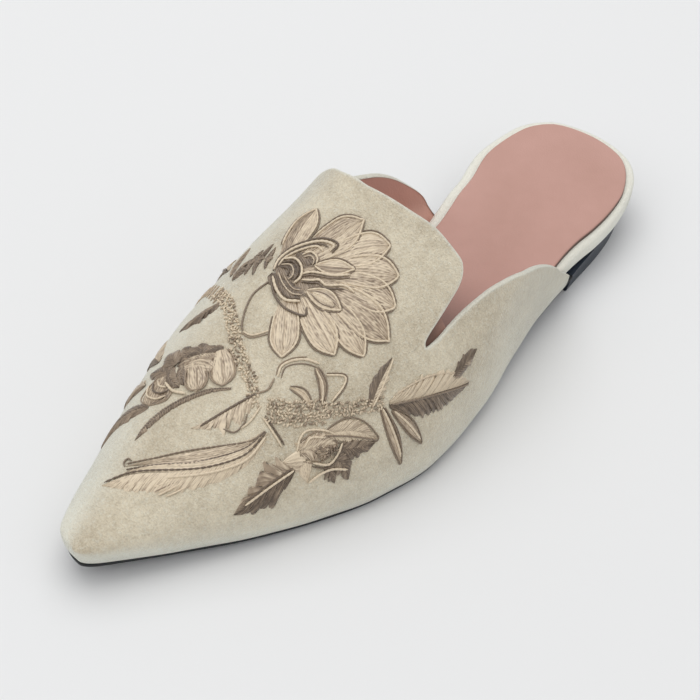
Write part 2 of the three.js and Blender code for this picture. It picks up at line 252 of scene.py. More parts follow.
@dataclass(frozen=True)
class Leather:
    """Smooth leather with a fine grain, dark where its cut edge or a shade is painted."""

    name: str
    colour: Colour
    worn: Colour
    roughness: float = 0.5
    grain: float = 1500.0
    depth: float = 0.00016
    strength: float = 0.4
    specular: float = 0.35
    unevenness: float = 0.12
    fineness: float = 3.0
    bump_shares: Pair = (0.7, 0.3)
    cloud_scale: float = 38.0
    cloud_span: Pair = (0.3, 0.7)
    dark: Colour = (0.085, 0.045, 0.03)

    def material(self) -> bpy.types.Material:
        """Returns the material."""
        s = Shader(self.name)
        cloud = s.noise(self.cloud_scale, 3.0)
        grain = s.pores(self.grain)
        fine = s.noise(self.fineness * self.grain, 2.0)
        face = s.blend(s.ramp(cloud, *self.cloud_span), self.worn, self.colour)
        s.dress({
            # The painted value darkens it: the dark cut edge, and painted shade under the vamp and
            # behind the slits.
            "Base Color": s.blend(s.painted("tone"), face, self.dark),
            "Roughness": self.roughness + self.unevenness * (fine - 0.5),
            "Specular IOR Level": self.specular,
        })
        coarse, close = self.bump_shares
        s.bump(coarse * grain + close * fine, self.depth, self.strength)
        return s.material


@dataclass(frozen=True)
class Thread:
    """Lustrous rayon thread; the tone painted on the mesh runs from dark brown to pale and holds
    painted light and shade as well as the thread's own colour.
    """

    name: str = "rayon_thread"
    dark: Colour = (0.10, 0.064, 0.037)
    middle: Colour = (0.37, 0.275, 0.187)
    pale: Colour = (0.76, 0.63, 0.455)
    roughness: float = 0.34
    specular: float = 0.7
    sheen: float = 0.15
    unevenness: float = 0.3
    tone_scale: float = 1000.0
    fibre_scale: float = 5200.0
    depth: float = 0.00012
    strength: float = 0.35

    def material(self) -> bpy.types.Material:
        """Returns the material."""
        s = Shader(self.name)
        tone = s.painted("tone") + self.unevenness * (s.noise(self.tone_scale, 2.0) - 0.5)
        lower = s.blend(s.ramp(tone, 0.0, 0.5), self.dark, self.middle)
        s.dress({
            "Base Color": s.blend(s.ramp(tone, 0.5, 1.0), lower, self.pale),
            "Roughness": self.roughness,
            "Specular IOR Level": self.specular,
            "Sheen Weight": self.sheen,
        })
        s.bump(s.noise(self.fibre_scale, 1.0), self.depth, self.strength)
        return s.material


@dataclass(frozen=True)
class Paint:
    """An even pale surface for the studio floor."""

    name: str
    colour: Colour
    roughness: float = 0.8
    specular: float = 0.1

    def material(self) -> bpy.types.Material:
        """Returns the material."""
        s = Shader(self.name)
        s.dress({
            "Base Color": (*self.colour, 1.0),
            "Roughness": self.roughness,
            "Specular IOR Level": self.specular,
        })
        return s.material


# Meshes

def add_object(name: str, data: bpy.types.ID) -> bpy.types.Object:
    """Adds an object that shows the data to the scene, and returns it."""
    added = bpy.data.objects.new(name, data)
    bpy.context.scene.collection.objects.link(added)
    return added


def add_mesh(name: str, points: list, faces: list) -> bpy.types.Object:
    """Adds an object with a mesh of these points and faces, and returns it."""
    mesh = bpy.data.meshes.new(name)
    mesh.from_pydata(points, [], faces)
    return add_object(name, mesh)


class Skin:
    """Collects grids of points, with painted values, into the mesh of one piece."""

    def __init__(self) -> None:
        """Starts empty."""
        self.points: list[Array] = []
        self.faces: list[Array] = []
        self.paint: list[Array] = []
        self.count = 0

    def grid(self, points: Array, paint: Array | float = 0.0, wrap: bool = False,
             flip: bool = False) -> None:
        """Adds a grid of quads.

        Args:
            points: Rows by columns of points, in millimetres.
            paint: A value for each point, or one for all.
            wrap: Whether the last column joins the first.
            flip: Whether the faces turn the other way.
        """
        rows, columns = points.shape[:2]
        index = np.arange(rows * columns).reshape(rows, columns) + self.count
        if wrap:
            index = np.concatenate([index, index[:, :1]], axis=1)
        corners = [index[:-1, :-1], index[:-1, 1:], index[1:, 1:], index[1:, :-1]]
        if flip:
            corners.reverse()
        self.points.append(points.reshape(-1, 3))
        self.faces.append(np.stack(corners, -1).reshape(-1, 4))
        self.paint.append(np.broadcast_to(np.asarray(paint, float), (rows, columns)).ravel())
        self.count += rows * columns

    def piece(self, name: str, finish: bpy.types.Material, slot: str, value: str = "tone",
              crisp: float | None = None) -> bpy.types.Object:
        """Makes the object.

        Args:
            name: The piece's name.
            finish: Its material.
            slot: The record's material slot; not used.
            value: Name of the painted value.
            crisp: Angle in degrees from which an edge stays sharp.

        Returns:
            The object, which rides on the shoe.
        """
        points = np.concatenate(self.points) * MM
        merged = add_mesh(name, points.tolist(), np.concatenate(self.faces).tolist())
        mesh = merged.data
        layer = mesh.attributes.new(value, "FLOAT", "POINT")
        layer.data.foreach_set("value", np.concatenate(self.paint).astype(np.float32))
        mesh.shade_smooth()
        if crisp is not None:
            mesh.set_sharp_from_angle(angle=math.radians(crisp))
        mesh.validate()
        mesh.materials.append(finish)
        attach(merged, "root")
        LOG.info("%s: %d points, %d faces", name, len(mesh.vertices), len(mesh.polygons))
        return merged


class SmoothCurve:
    """A curve through the points of a table that never overshoots them."""

    def __init__(self, xs: Sequence[float], ys: Sequence[float]) -> None:
        """Works out the tangents at the points."""
        self.xs, self.ys = np.asarray(xs, float), np.asarray(ys, float)
        self.steps = np.diff(self.xs)
        slopes = np.diff(self.ys) / self.steps
        before = 2 * self.steps[1:] + self.steps[:-1]
        after = self.steps[1:] + 2 * self.steps[:-1]
        turns = slopes[:-1] * slopes[1:] <= 0
        safe = np.where(turns, 1.0, slopes[:-1]), np.where(turns, 1.0, slopes[1:])
        inner = (before + after) / (before / safe[0] + after / safe[1])
        self.tangents = np.concatenate([slopes[:1], np.where(turns, 0.0, inner), slopes[-1:]])

    def __call__(self, x: Array | float) -> Array:
        """Returns the curve's height at x, held at its ends."""
        held = np.clip(np.asarray(x, float), self.xs[0], self.xs[-1])
        i = np.clip(np.searchsorted(self.xs, held) - 1, 0, len(self.steps) - 1)
        t = (held - self.xs[i]) / self.steps[i]
        step, back = self.steps[i], 1 - t
        start = self.ys[i] * (1 + 2 * t) * back**2 + self.tangents[i] * step * t * back**2
        end = self.ys[i + 1] * t**2 * (3 - 2 * t) - self.tangents[i + 1] * step * t**2 * back
        return start + end


def unit(vectors: Array) -> Array:
    """Returns the vectors at length 1."""
    return vectors / np.maximum(np.linalg.norm(vectors, axis=-1, keepdims=True), 1e-12)


def compass(line: Array) -> tuple[Array, Array]:
    """Returns the directions ahead along a flat line and aside from it."""
    ahead = unit(np.gradient(line, axis=0))
    return ahead, np.stack([-ahead[:, 1], ahead[:, 0]], -1)


def lengths(line: Array) -> Array:
    """Returns the lengths of a line's steps."""
    return np.linalg.norm(np.diff(line, axis=0), axis=-1)


def smoothstep(x: Array, low: float, high: float) -> Array:
    """Returns a soft step from 0 at low to 1 at high."""
    t = np.clip((x - low) / (high - low), 0.0, 1.0)
    return t * t * (3 - 2 * t)


STRAIGHT_STEPS, CURVE_STEPS = 40, 24


def trail(points: Path, spacing: float) -> Array:
    """Returns points at even spacing along a smooth line through the given points."""
    knots = np.asarray(points, float)
    if len(knots) == 2:
        dense = knots[0] + (knots[1] - knots[0]) * np.linspace(0, 1, STRAIGHT_STEPS)[:, None]
    else:
        padded = np.vstack([2 * knots[0] - knots[1], knots, 2 * knots[-1] - knots[-2]])
        t = np.linspace(0, 1, CURVE_STEPS, endpoint=False)[:, None]
        parts = []
        for a, b, c, d in zip(padded[:-3], padded[1:-2], padded[2:-1], padded[3:]):
            parts.append(0.5 * (2 * b + (c - a) * t + (2 * a - 5 * b + 4 * c - d) * t**2
                                + (3 * b - a - 3 * c + d) * t**3))
        dense = np.vstack(parts + [knots[-1:]])
    run = np.concatenate([[0], np.cumsum(lengths(dense))])
    marks = np.linspace(0, run[-1], max(int(round(run[-1] / spacing)), 2) + 1)
    return np.stack([np.interp(marks, run, dense[:, k]) for k in range(dense.shape[1])], -1)


# The last

OUTER, INNER = 1, -1
COLUMN = {OUTER: 0, INNER: 1}
RIDGE_TURN = 0.5 * math.pi


@dataclass
class Last:
    """The form that the shoe is made on: plan, feather line, turned-under foot, ridge and collar.

    A place on its skin is (at, u): u runs from -1 at the outer feather line through 0 at the outer
    widest line and half a turn over the ridge to the inner side, where it ends at pi + 1.
    """

    length: float = 255.0
    centring: float = 3.2
    width_power: float = 2.3
    height_power: float = 2.08
    quarter_end: tuple = (0.25, 0.262)
    tongue_middle: float = 0.504
    inner_tail: float = 0.012
    toe_stop: float = 0.9992
    at_step: float = 4e-4
    u_step: float = 4e-3
    plan: tuple = (
        (0.00, 0.0, 0.0), (0.02, 17.4, 18.8), (0.07, 25.6, 26.4), (0.14, 29.5, 27.9),
        (0.22, 31.4, 25.2), (0.31, 34.3, 27.0), (0.40, 39.2, 32.6), (0.50, 45.2, 36.8),
        (0.60, 47.4, 41.0), (0.68, 43.9, 39.5), (0.76, 36.5, 34.1), (0.84, 26.9, 26.7),
        (0.91, 16.7, 19.0), (0.965, 8.4, 12.6), (0.99, 4.2, 8.2), (1.00, 0.0, 0.0),
    )
    feather_line: tuple = (
        (0.0, 12.4), (0.1, 10.9), (0.2, 9.0), (0.3, 6.5), (0.4, 3.9), (0.5, 2.2),
        (0.57, 1.7), (0.71, 1.7), (0.8, 2.8), (0.9, 4.9), (1.0, 8.2),
    )
    turn_under: tuple = (
        (0.0, 0.5, 4.0, 0.5, 4.0), (0.22, 0.5, 4.5, 0.6, 4.5), (0.30, 1.2, 6.3, 5.6, 11.3),
        (0.38, 2.2, 8.2, 9.6, 20.7), (0.46, 2.3, 8.3, 8.0, 18.3), (0.54, 1.9, 6.8, 4.4, 10.8),
        (0.62, 1.6, 5.4, 2.2, 6.4), (0.70, 1.5, 5.0, 1.5, 5.2), (0.88, 1.5, 5.0, 1.5, 5.2),
        (1.0, 1.5, 5.6, 1.5, 5.6),
    )
    ridge: tuple = (
        (0.25, 98.0, -5.0), (0.35, 89.0, -6.2), (0.42, 80.0, -7.0), (0.49, 68.0, -6.4),
        (0.56, 57.2, -5.6), (0.64, 47.4, -4.8), (0.73, 38.9, -4.0), (0.82, 30.2, -2.7),
        (0.90, 23.2, -1.7), (0.96, 18.4, -1.0), (1.00, 13.8, 0.0),
    )
    quarter: tuple = (
        (0.28, 19.6, 18.4), (0.30, 24.8, 24.4), (0.335, 31.6, 32.8), (0.38, 37.8, 38.6),
        (0.43, 42.4, 42.3), (0.49, 44.3, 43.4), (0.54, 41.8, 41.9), (0.562, 40.2, 40.3),
    )
    slit: tuple = ((0.5808, 39.6), (0.5745, 39.9))
    tongue: tuple = (
        (1.3, 0.5795), (2.2, 0.5765), (2.8, 0.567), (3.2, 0.540), (3.6, 0.511), (4.5, 0.500),
        (5.8, 0.4945), (8.1, 0.4905), (14.5, 0.492), (21.5, 0.4935), (33.5, 0.500),
    )

    def __post_init__(self) -> None:
        """Draws the smooth curves through the tables."""
        plan, under, ridge, line = (
            np.array(table).T
            for table in (self.plan, self.turn_under, self.ridge, self.feather_line)
        )
        turns = self.turn(plan[0])
        self._half = {side: SmoothCurve(turns, plan[1 + k]) for side, k in COLUMN.items()}
        self._in = {side: SmoothCurve(under[0], under[1 + 2 * k]) for side, k in COLUMN.items()}
        self._up = {side: SmoothCurve(under[0], under[2 + 2 * k]) for side, k in COLUMN.items()}
        self.feather = SmoothCurve(*line)
        self._ridge_height = SmoothCurve(self.turn(ridge[0]), ridge[1])
        self._ridge_side = SmoothCurve(self.turn(ridge[0]), ridge[2])
        self._collar = {side: self._collar_side(side) for side in COLUMN}

    @staticmethod
    def turn(at: Array | float) -> Array:
        """Returns a place along the shoe as an angle, so that both ends come out round."""
        return np.arccos(np.clip(1 - 2 * np.asarray(at, float), -1, 1))

    @staticmethod
    def place(angle: Array | float) -> Array:
        """Returns the place along the shoe of such an angle."""
        return (1 - np.cos(angle)) / 2

    def half(self, at: Array, side: int) -> Array:
        """Returns the half width of the plan."""
        return self._half[side](self.turn(at))

    def tuck_in(self, at: Array, side: int) -> Array:
        """Returns how far the feather line lies inside the widest line."""
        return self._in[side](at)

    def widest(self, at: Array, side: int) -> Array:
        """Returns the height of the widest line."""
        return self.feather(at) + self._up[side](at)

    def plan_out(self, at: Array, side: int) -> Array:
        """Returns the level direction that leads out of the plan's edge."""
        angle, step = self.turn(at), 1e-3
        low, high = np.maximum(angle - step, 0), np.minimum(angle + step, math.pi)
        spread = (self._half[side](high) - self._half[side](low)) / (high - low)
        return unit(np.stack([side * 0.5 * self.length * np.sin(angle), spread, 0 * angle], -1))

    def edge(self, at: Array, side: int, inset: Array) -> Array:
        """Returns points of the plan's edge, moved in by an inset, at height 0."""
        flat = np.stack([side * self.half(at, side), self.length * (0.5 - at), 0 * at], -1)
        return flat - self.plan_out(at, side) * np.asarray(inset)[..., None] - (self.centring, 0, 0)

    def _skin_side(self, at: Array, u: Array, side: int) -> Array:
        """Returns points of one side of the skin."""
        angle = np.clip(u, 0, math.pi)
        depth = np.clip(np.maximum(-u, u - math.pi), 0, 1)
        across = np.abs(np.cos(angle)) ** (2 / self.width_power)
        up = np.abs(np.sin(angle)) ** (2 / self.height_power)
        foot, centre = self.widest(at, side), self._ridge_side(self.turn(at))
        x = centre + (side * self.half(at, side) - centre) * across
        z = foot + (self._ridge_height(self.turn(at)) - foot) * up - self._up[side](at) * depth
        points = np.stack([x - self.centring, self.length * (0.5 - at), z], -1)
        return points - self.plan_out(at, side) * (self.tuck_in(at, side) * depth**2)[..., None]

    def skin(self, at: Array, u: Array) -> Array:
        """Returns points of the outside, in millimetres."""
        at, u = np.broadcast_arrays(np.asarray(at, float), np.asarray(u, float))
        outer = (u <= RIDGE_TURN)[..., None]
        return np.where(outer, self._skin_side(at, u, OUTER), self._skin_side(at, u, INNER))

    def normal(self, at: Array, u: Array) -> Array:
        """Returns the directions out of the outside."""
        at, u = np.broadcast_arrays(np.asarray(at, float), np.asarray(u, float))
        at = np.minimum(at, self.toe_stop)
        low = np.maximum(u - self.u_step, -1)
        high = np.minimum(u + self.u_step, math.pi + 1)
        around = self.skin(at, high) - self.skin(at, low)
        reach = np.minimum(self.at_step, 0.4 * (1 - at))
        ahead = self.skin(at + reach, u) - self.skin(at - reach, u)
        return unit(np.cross(around, ahead))

    def _angle_at(self, at: float, height: float, side: int) -> float:
        """Returns the angle up the section at which the outside has this height."""
        foot = float(self.widest(at, side))
        share = (height - foot) / (float(self._ridge_height(self.turn(at))) - foot)
        return math.asin(min(max(share, 0.0), 1.0) ** (self.height_power / 2))

    def _collar_side(self, side: int) -> SmoothCurve:
        """Returns the collar of one side, from the angle to the place along."""
        k = COLUMN[side]
        slit_at, slit_height = self.slit[k]
        slit_angle = self._angle_at(slit_at, slit_height, side)
        rows = [(0.0, self.quarter_end[k] + k * self.inner_tail)]
        rows += [(self._angle_at(row[0], row[1 + k], side), row[0]) for row in self.quarter]
        rows += [(slit_angle, slit_at)]
        rows += [(slit_angle + math.radians(past), at) for past, at in self.tongue]
        rows += [(RIDGE_TURN, self.tongue_middle)]
        return SmoothCurve(*zip(*rows))

    def collar(self, u: Array) -> Array:
        """Returns the place along at which the skin ends in the collar."""
        inner = self._collar[INNER](math.pi - u) - self.inner_tail * np.clip(u - math.pi, 0, 1)
        return np.where(u <= RIDGE_TURN, self._collar[OUTER](u), inner)


class Chart:
    """Lays the flat chart of the thread work on the last's skin."""

    along_marks = (3.0, 200.0, 198)
    across_marks = (-95, 95, 381)
    even_marks, turn_marks, foot_marks = 161, 121, 41

    def __init__(self, last: Last) -> None:
        """Measures the skin along rows from the toe to the quarters."""
        self.last = last
        self.along = np.linspace(*self.along_marks)
        even = np.linspace(0, 1, self.even_marks)
        over = np.arccos(even[::-1] ** (last.width_power / 2))
        turns = np.linspace(0, RIDGE_TURN, self.turn_marks)
        half = np.unique(np.concatenate([over, turns]))
        foot = np.linspace(-1, 0, self.foot_marks)[:-1]
        outer = np.concatenate([foot, half])
        self.u = np.concatenate([outer, math.pi - outer[-2::-1]])
        points = last.skin((1 - self.along / last.length)[:, None], self.u[None, :])
        steps = np.linalg.norm(np.diff(points[..., [0, 2]], axis=1), axis=-1)
        arc = np.concatenate([np.zeros((len(self.along), 1)), np.cumsum(steps, axis=1)], axis=1)
        self.arc = arc[:, [len(outer) - 1]] - arc
        self.across = np.linspace(*self.across_marks)
        self.table = np.stack([np.interp(self.across, row[::-1], self.u[::-1]) for row in self.arc])

    @staticmethod
    def _cell(value: Array, marks: Array) -> tuple[Array, Array]:
        """Returns the step of even marks that holds a value, and the share of the way through."""
        spot = np.clip((value - marks[0]) / (marks[1] - marks[0]), 0, len(marks) - 1.001)
        return spot.astype(int), spot - spot.astype(int)

    def place(self, across: Array, along: Array) -> tuple[Array, Array]:
        """Returns the place (at, u) of chart points."""
        (i, p), (j, q) = self._cell(along, self.along), self._cell(across, self.across)
        t = self.table
        low = t[i, j] * (1 - q) + t[i, j + 1] * q
        high = t[i + 1, j] * (1 - q) + t[i + 1, j + 1] * q
        return 1 - along / self.last.length, low * (1 - p) + high * p

    def lay(self, across: Array, along: Array, lift: Array | float = 0.0) -> Array:
        """Returns points over the skin.

        Args:
            across: Distances from the ridge.
            along: Distances back from the toe.
            lift: Heights over the skin.

        Returns:
            Points in millimetres.
        """
        at, u = self.place(across, along)
        return self.last.skin(at, u) + self.last.normal(at, u) * np.asarray(lift)[..., None]

    def read(self, at: Array, u: Array) -> tuple[Array, Array]:
        """Returns the chart's (across, along) of places on the skin."""
        along = (1 - at) * self.last.length
        i, p = self._cell(along, self.along)
        low, high = (
            np.array([np.interp(v, self.u, self.arc[k]) for v, k in zip(u.flat, rows.flat)])
            .reshape(u.shape) for rows in (i, i + 1)
        )
        return low * (1 - p) + high * p, along


# Upper

@dataclass(frozen=True)
class Crease:
    """A soft trough or ridge of the upper, along a line of the chart."""

    line: Path
    depth: float
    width: float


@dataclass
class Upper:
    """The velvet upper with its folded collar edge, creases and lining."""

    last: Last
    chart: Chart
    wall: float = 2.0
    collar_marks: int = 6001
    least_step: float = 0.004
    columns: int = 330
    foot_columns: int = 14
    rows: int = 104
    row_power: float = 1.45
    edge_rows: int = 22
    near_rows: int = 16
    roll_rows: int = 12
    vamp_length: float = 160.0
    edge_depth: float = 7.0
    roll: float = 0.4
    fold_height: float = 0.12
    fold_span: Pair = (0.03, 0.22)
    tail_roll: float = 0.12
    fold_reach: Pair = (1.0, 3.0)
    wave_height: float = 0.07
    wave_reach: Pair = (3.0, 9.0)
    wave_lengths: tuple = (5.1, 8.7, 6.3, 11.0)
    toe_span: Pair = (0.78, 0.97)
    toe_blend: float = 0.05
    far_off: float = 60.0
    # Painted sheen of the pile by the collar, the foot and the inner flank.
    collar_sheen: float = 0.6
    collar_band: float = 0.45
    foot_sheen: Pair = (0.5, 0.2)
    foot_span: Pair = (-0.3, 0.5)
    flank_sheen: Pair = (0.3, 0.35)
    flank_span: Pair = (1.7, 2.3)
    flank_toe: float = 0.3
    # Past the slits' bottoms the lining runs on to this place as a sheet of painted shade seen
    # through the slits.
    lining_end: float = 0.542
    lining_gap: float = 0.02
    lining_first: int = 8
    lining_stride: int = 3
    slit_shade: Pair = (0.6, 0.24)
    shade_end: float = 0.565
    shade_fade: float = 0.02
    creases: tuple[Crease, ...] = (
        Crease(((46, 103), (54, 97), (62, 95)), 0.45, 4.5),
        Crease(((50, 122), (57, 136), (60, 152)), 0.5, 5.0),
        Crease(((60, 128), (66, 142), (68, 156)), -0.35, 4.5),
        Crease(((-38, 108), (-48, 103), (-55, 101)), 0.4, 4.5),
        Crease(((24, 121), (10, 123), (-8, 122)), 0.22, 4.0),
    )
    angles: Array = field(init=False)

    def __post_init__(self) -> None:
        """Spaces the columns evenly along the collar."""
        dense = np.linspace(0, math.pi, self.collar_marks)
        run = lengths(self.last.skin(self.last.collar(dense), dense))
        run = np.concatenate([[0], np.cumsum(run + self.least_step)])
        body = np.interp(np.linspace(0, run[-1], self.columns), run, dense)
        foot = np.linspace(-1, 0, self.foot_columns + 1)[:-1]
        self.angles = np.concatenate([foot, body, math.pi - foot[::-1]])

    def shares(self) -> Array:
        """Returns the rows' shares of the way from the toe to the collar, closer at both ends."""
        near = self.edge_depth / self.vamp_length
        main = (1 - near) * np.linspace(0, 1, self.rows) ** self.row_power
        return np.concatenate([main, 1 - near * (1 - np.linspace(0, 1, self.edge_rows + 1)[1:])])

    def collar_line(self) -> tuple[Array, Array, Array]:
        """Returns the collar's points, its normals and the directions out over its edge."""
        ends = self.last.collar(self.angles)
        points = self.last.skin(ends, self.angles)
        normals = self.last.normal(ends, self.angles)
        along = np.gradient(points, axis=0)
        return points, normals, unit(np.cross(along, normals))

    @staticmethod
    def distance(points: Array, line: Array) -> Array:
        """Returns the distances of points from a line's points."""
        flat = points.reshape(-1, points.shape[-1])
        parts = [np.linalg.norm(part[:, None] - line[None], axis=-1).min(axis=1)
                 for part in np.array_split(flat, max(len(flat) // 2000, 1))]
        return np.concatenate(parts).reshape(points.shape[:-1])

    @staticmethod
    def slope(u: Array) -> Array:
        """Returns the angle up from the nearer widest line."""
        return np.minimum(u, math.pi - u)

    def folded(self, u: Array) -> Array:
        """Returns 1 where the collar is folded, falling to 0 at the quarters' tails."""
        return smoothstep(self.slope(u), *self.fold_span)

    def relief(self, at: Array, u: Array, apart: Array) -> Array:
        """Returns the height of the fold and the creases over the last."""
        across, along = self.chart.read(at, u)
        flat = np.stack([across, along], -1)
        height = self.fold_height * (1 - smoothstep(apart, *self.fold_reach)) * self.folded(u)
        for crease in self.creases:
            away = self.distance(flat, trail(crease.line, 1.0))
            height -= crease.depth * np.exp(-((away / crease.width) ** 2))
        a, b, c, d = self.wave_lengths
        waves = np.sin(across / a + along / b) * np.sin(along / c - across / d)
        return height + self.wave_height * waves * smoothstep(apart, *self.wave_reach)

    def painted_sheen(self, at: Array, u: Array, apart: Array) -> Array:
        """Returns how pale the painted sheen makes the pile by the collar, the foot and the inner
        flank, more towards the toe.
        """
        toe = smoothstep(at, *self.toe_span)
        collar = self.collar_sheen * np.exp(-((apart / self.collar_band) ** 2))
        least, more = self.foot_sheen
        foot = (least + more * toe) * (1 - smoothstep(self.slope(u), *self.foot_span))
        (least, more), (low, high) = self.flank_sheen, self.flank_span
        flank = (least + more * toe) * smoothstep(u, low - self.flank_toe * toe, high)
        return np.maximum(np.maximum(collar, foot), flank)

    def places(self, ends: Array, shares: Array) -> tuple[Array, Array]:
        """Returns the places (at, u) of a grid from the toe to these ends."""
        at = 1 - (1 - ends)[None, :] * shares[:, None]
        return at, np.broadcast_to(self.angles, at.shape)

    def build(self, velvet: bpy.types.Material, lining: bpy.types.Material) -> None:
        """Builds the velvet and the lining.

        Args:
            velvet: The outside's finish.
            lining: The inside's finish.
        """
        ends, shares = self.last.collar(self.angles), self.shares()
        self.build_velvet(velvet, *self.places(ends, shares))
        fewer = shares[np.r_[self.lining_first:len(shares):self.lining_stride, -1]]
        self.build_lining(lining, ends, *self.places(np.minimum(ends, self.lining_end), fewer))

    def build_velvet(self, finish: bpy.types.Material, at: Array, u: Array) -> None:
        """Builds the outside, with its edge rolled over the collar, on a grid of places."""
        points, normals = self.last.skin(at, u), self.last.normal(at, u)
        rim, out_of, over = self.collar_line()
        apart = np.full(at.shape, self.far_off)
        tail = slice(-self.edge_rows - self.near_rows, None)
        apart[tail] = self.distance(points[tail], rim)
        height = self.relief(at, u, apart) * smoothstep(1 - at, 0.0, self.toe_blend)
        outside = points + normals * height[..., None]
        bulge = np.linspace(0, math.pi, self.roll_rows + 1)[1:, None, None]
        radius = 0.5 * (self.wall + self.fold_height)
        middle = outside[-1] - radius * out_of
        roll = self.tail_roll + (self.roll - self.tail_roll) * self.folded(self.angles)
        rolled = middle + radius * (np.cos(bulge) * out_of + roll[:, None] * np.sin(bulge) * over)
        # Painted sheen: pale pile by the collar, the foot and the inner flank, and along the rolled
        # collar edge.
        pale = self.painted_sheen(at, u, apart)
        edge = np.full(rolled.shape[:2], self.collar_sheen)
        skin = Skin()
        skin.grid(np.concatenate([outside, rolled]), np.concatenate([pale, edge]))
        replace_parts(skin.piece("upper_velvet", finish, "velvet", "edge"), "upper")

    def build_lining(self, finish: bpy.types.Material, ends: Array, at: Array, u: Array) -> None:
        """Builds the inside on a grid of places, with painted shade where it passes the slits'
        ends.
        """
        inside = self.last.skin(at, u) - (self.wall + self.lining_gap) * self.last.normal(at, u)
        # Painted shade on the lining behind the slits' bottoms.
        least, more = self.slit_shade
        shade = least + more * smoothstep(at, self.lining_end, self.shade_end)
        shade *= 1 - smoothstep(at, ends, ends + self.shade_fade)
        skin = Skin()
        skin.grid(inside, shade * (ends > self.lining_end), flip=True)
        skin.piece("upper_lining", finish, "insole_leather")


# Thread work

class Tone(Enum):
    """Tones of the thread, standing partly for its colour and partly for painted light and shade:
    darker on satin halves and leaves turned from the light and in the dark lines beside raised
    cords, paler where they face it.
    """

    PALE = 0.95
    CHAMPAGNE = 0.76
    SAND = 0.58
    BRONZE = 0.38
    BROWN = 0.2
    DARK = 0.06


class Fill(Enum):
    """Ways that the thread runs in a satin field."""

    CHEVRON = "slanted from the midrib to the edges"
    LENGTHWISE = "from the root to the tip"


@dataclass(frozen=True)
class Lobe:
    """A padded satin field, such as a leaf or a petal, from its root to its tip."""

    axis: Path
    width: float
    left: Tone
    right: Tone
    fill: Fill = Fill.CHEVRON
    belly: float = 0.45
    root: float = 0.12
    point: float = 1.7
    pad: float = 0.6
    lift: float = 0.05
    ragged: float = 0.1
    outline: Tone | None = None
    outline_from: float = 0.0
    piping: Tone | None = None
    only: int = 0
    slant: float = 1.25
    speck: float = 0.1


@dataclass(frozen=True)
class Cord:
    """A couched thread along a line."""

    line: Path
    tone: Tone
    radius: float
    lift: float
    bead: float = 0.0


@dataclass(frozen=True)
class Seeds:
    """A band of seed stitches along a line."""

    line: Path
    band: float
    spacing: float
    tone: Tone
    size: float = 0.36
    mix: float = 0.2
    lift: float = 0.05


@dataclass(frozen=True)
class Ladder:
    """A stem of bars across a line."""

    line: Path
    bar: float
    spacing: float
    cord: Cord


# Short names for the tables below: the tones from pale to dark, and the fields' styles.
P, C, S, B, BR, D = Tone
SATIN = {"fill": Fill.LENGTHWISE}
PETAL = {**SATIN, "belly": 0.66, "root": 0.3, "point": 2.3, "pad": 0.4, "ragged": 0.0,
         "outline": BR, "outline_from": 0.36, "piping": P, "speck": 0.2}
INSET = {**SATIN, "belly": 0.5, "root": 0.2, "outline": BR, "piping": P}
ROUND = {"belly": 0.5, "root": 0.5, "point": 2.4}
BLUNT = {**SATIN, "belly": 0.58, "root": 0.5, "point": 3.0, "pad": 0.45, "outline": B,
         "speck": 0.22}
TUFT = {**SATIN, "belly": 0.3, "root": 0.5, "point": 1.2, "pad": 0.4}
BLADE = {**SATIN, "belly": 0.5, "outline": BR}
JAGGED = {"belly": 0.5, "ragged": 0.2}

# Threads round a field: how far outside its edge, the radius and the rise over the field's lift.
# The dark outline is partly thread and partly painted shadow beside the raised edge; the piping is
# pale thread.
OUTLINE, PIPING = (0.2, 0.23, 0.1), (-0.5, 0.32, 0.3)


def lobes(style: dict[str, Any], *rows: tuple) -> tuple[Lobe, ...]:
    """Returns fields of one style from rows of width, left and right tone, lift and axis."""
    return tuple(Lobe(row[4:], *row[:3], lift=row[3], **style) for row in rows)


def cords(*rows: tuple) -> tuple[Cord, ...]:
    """Returns couched threads from rows of tone, radius, lift and line."""
    return tuple(Cord(row[3:], *row[:3]) for row in rows)


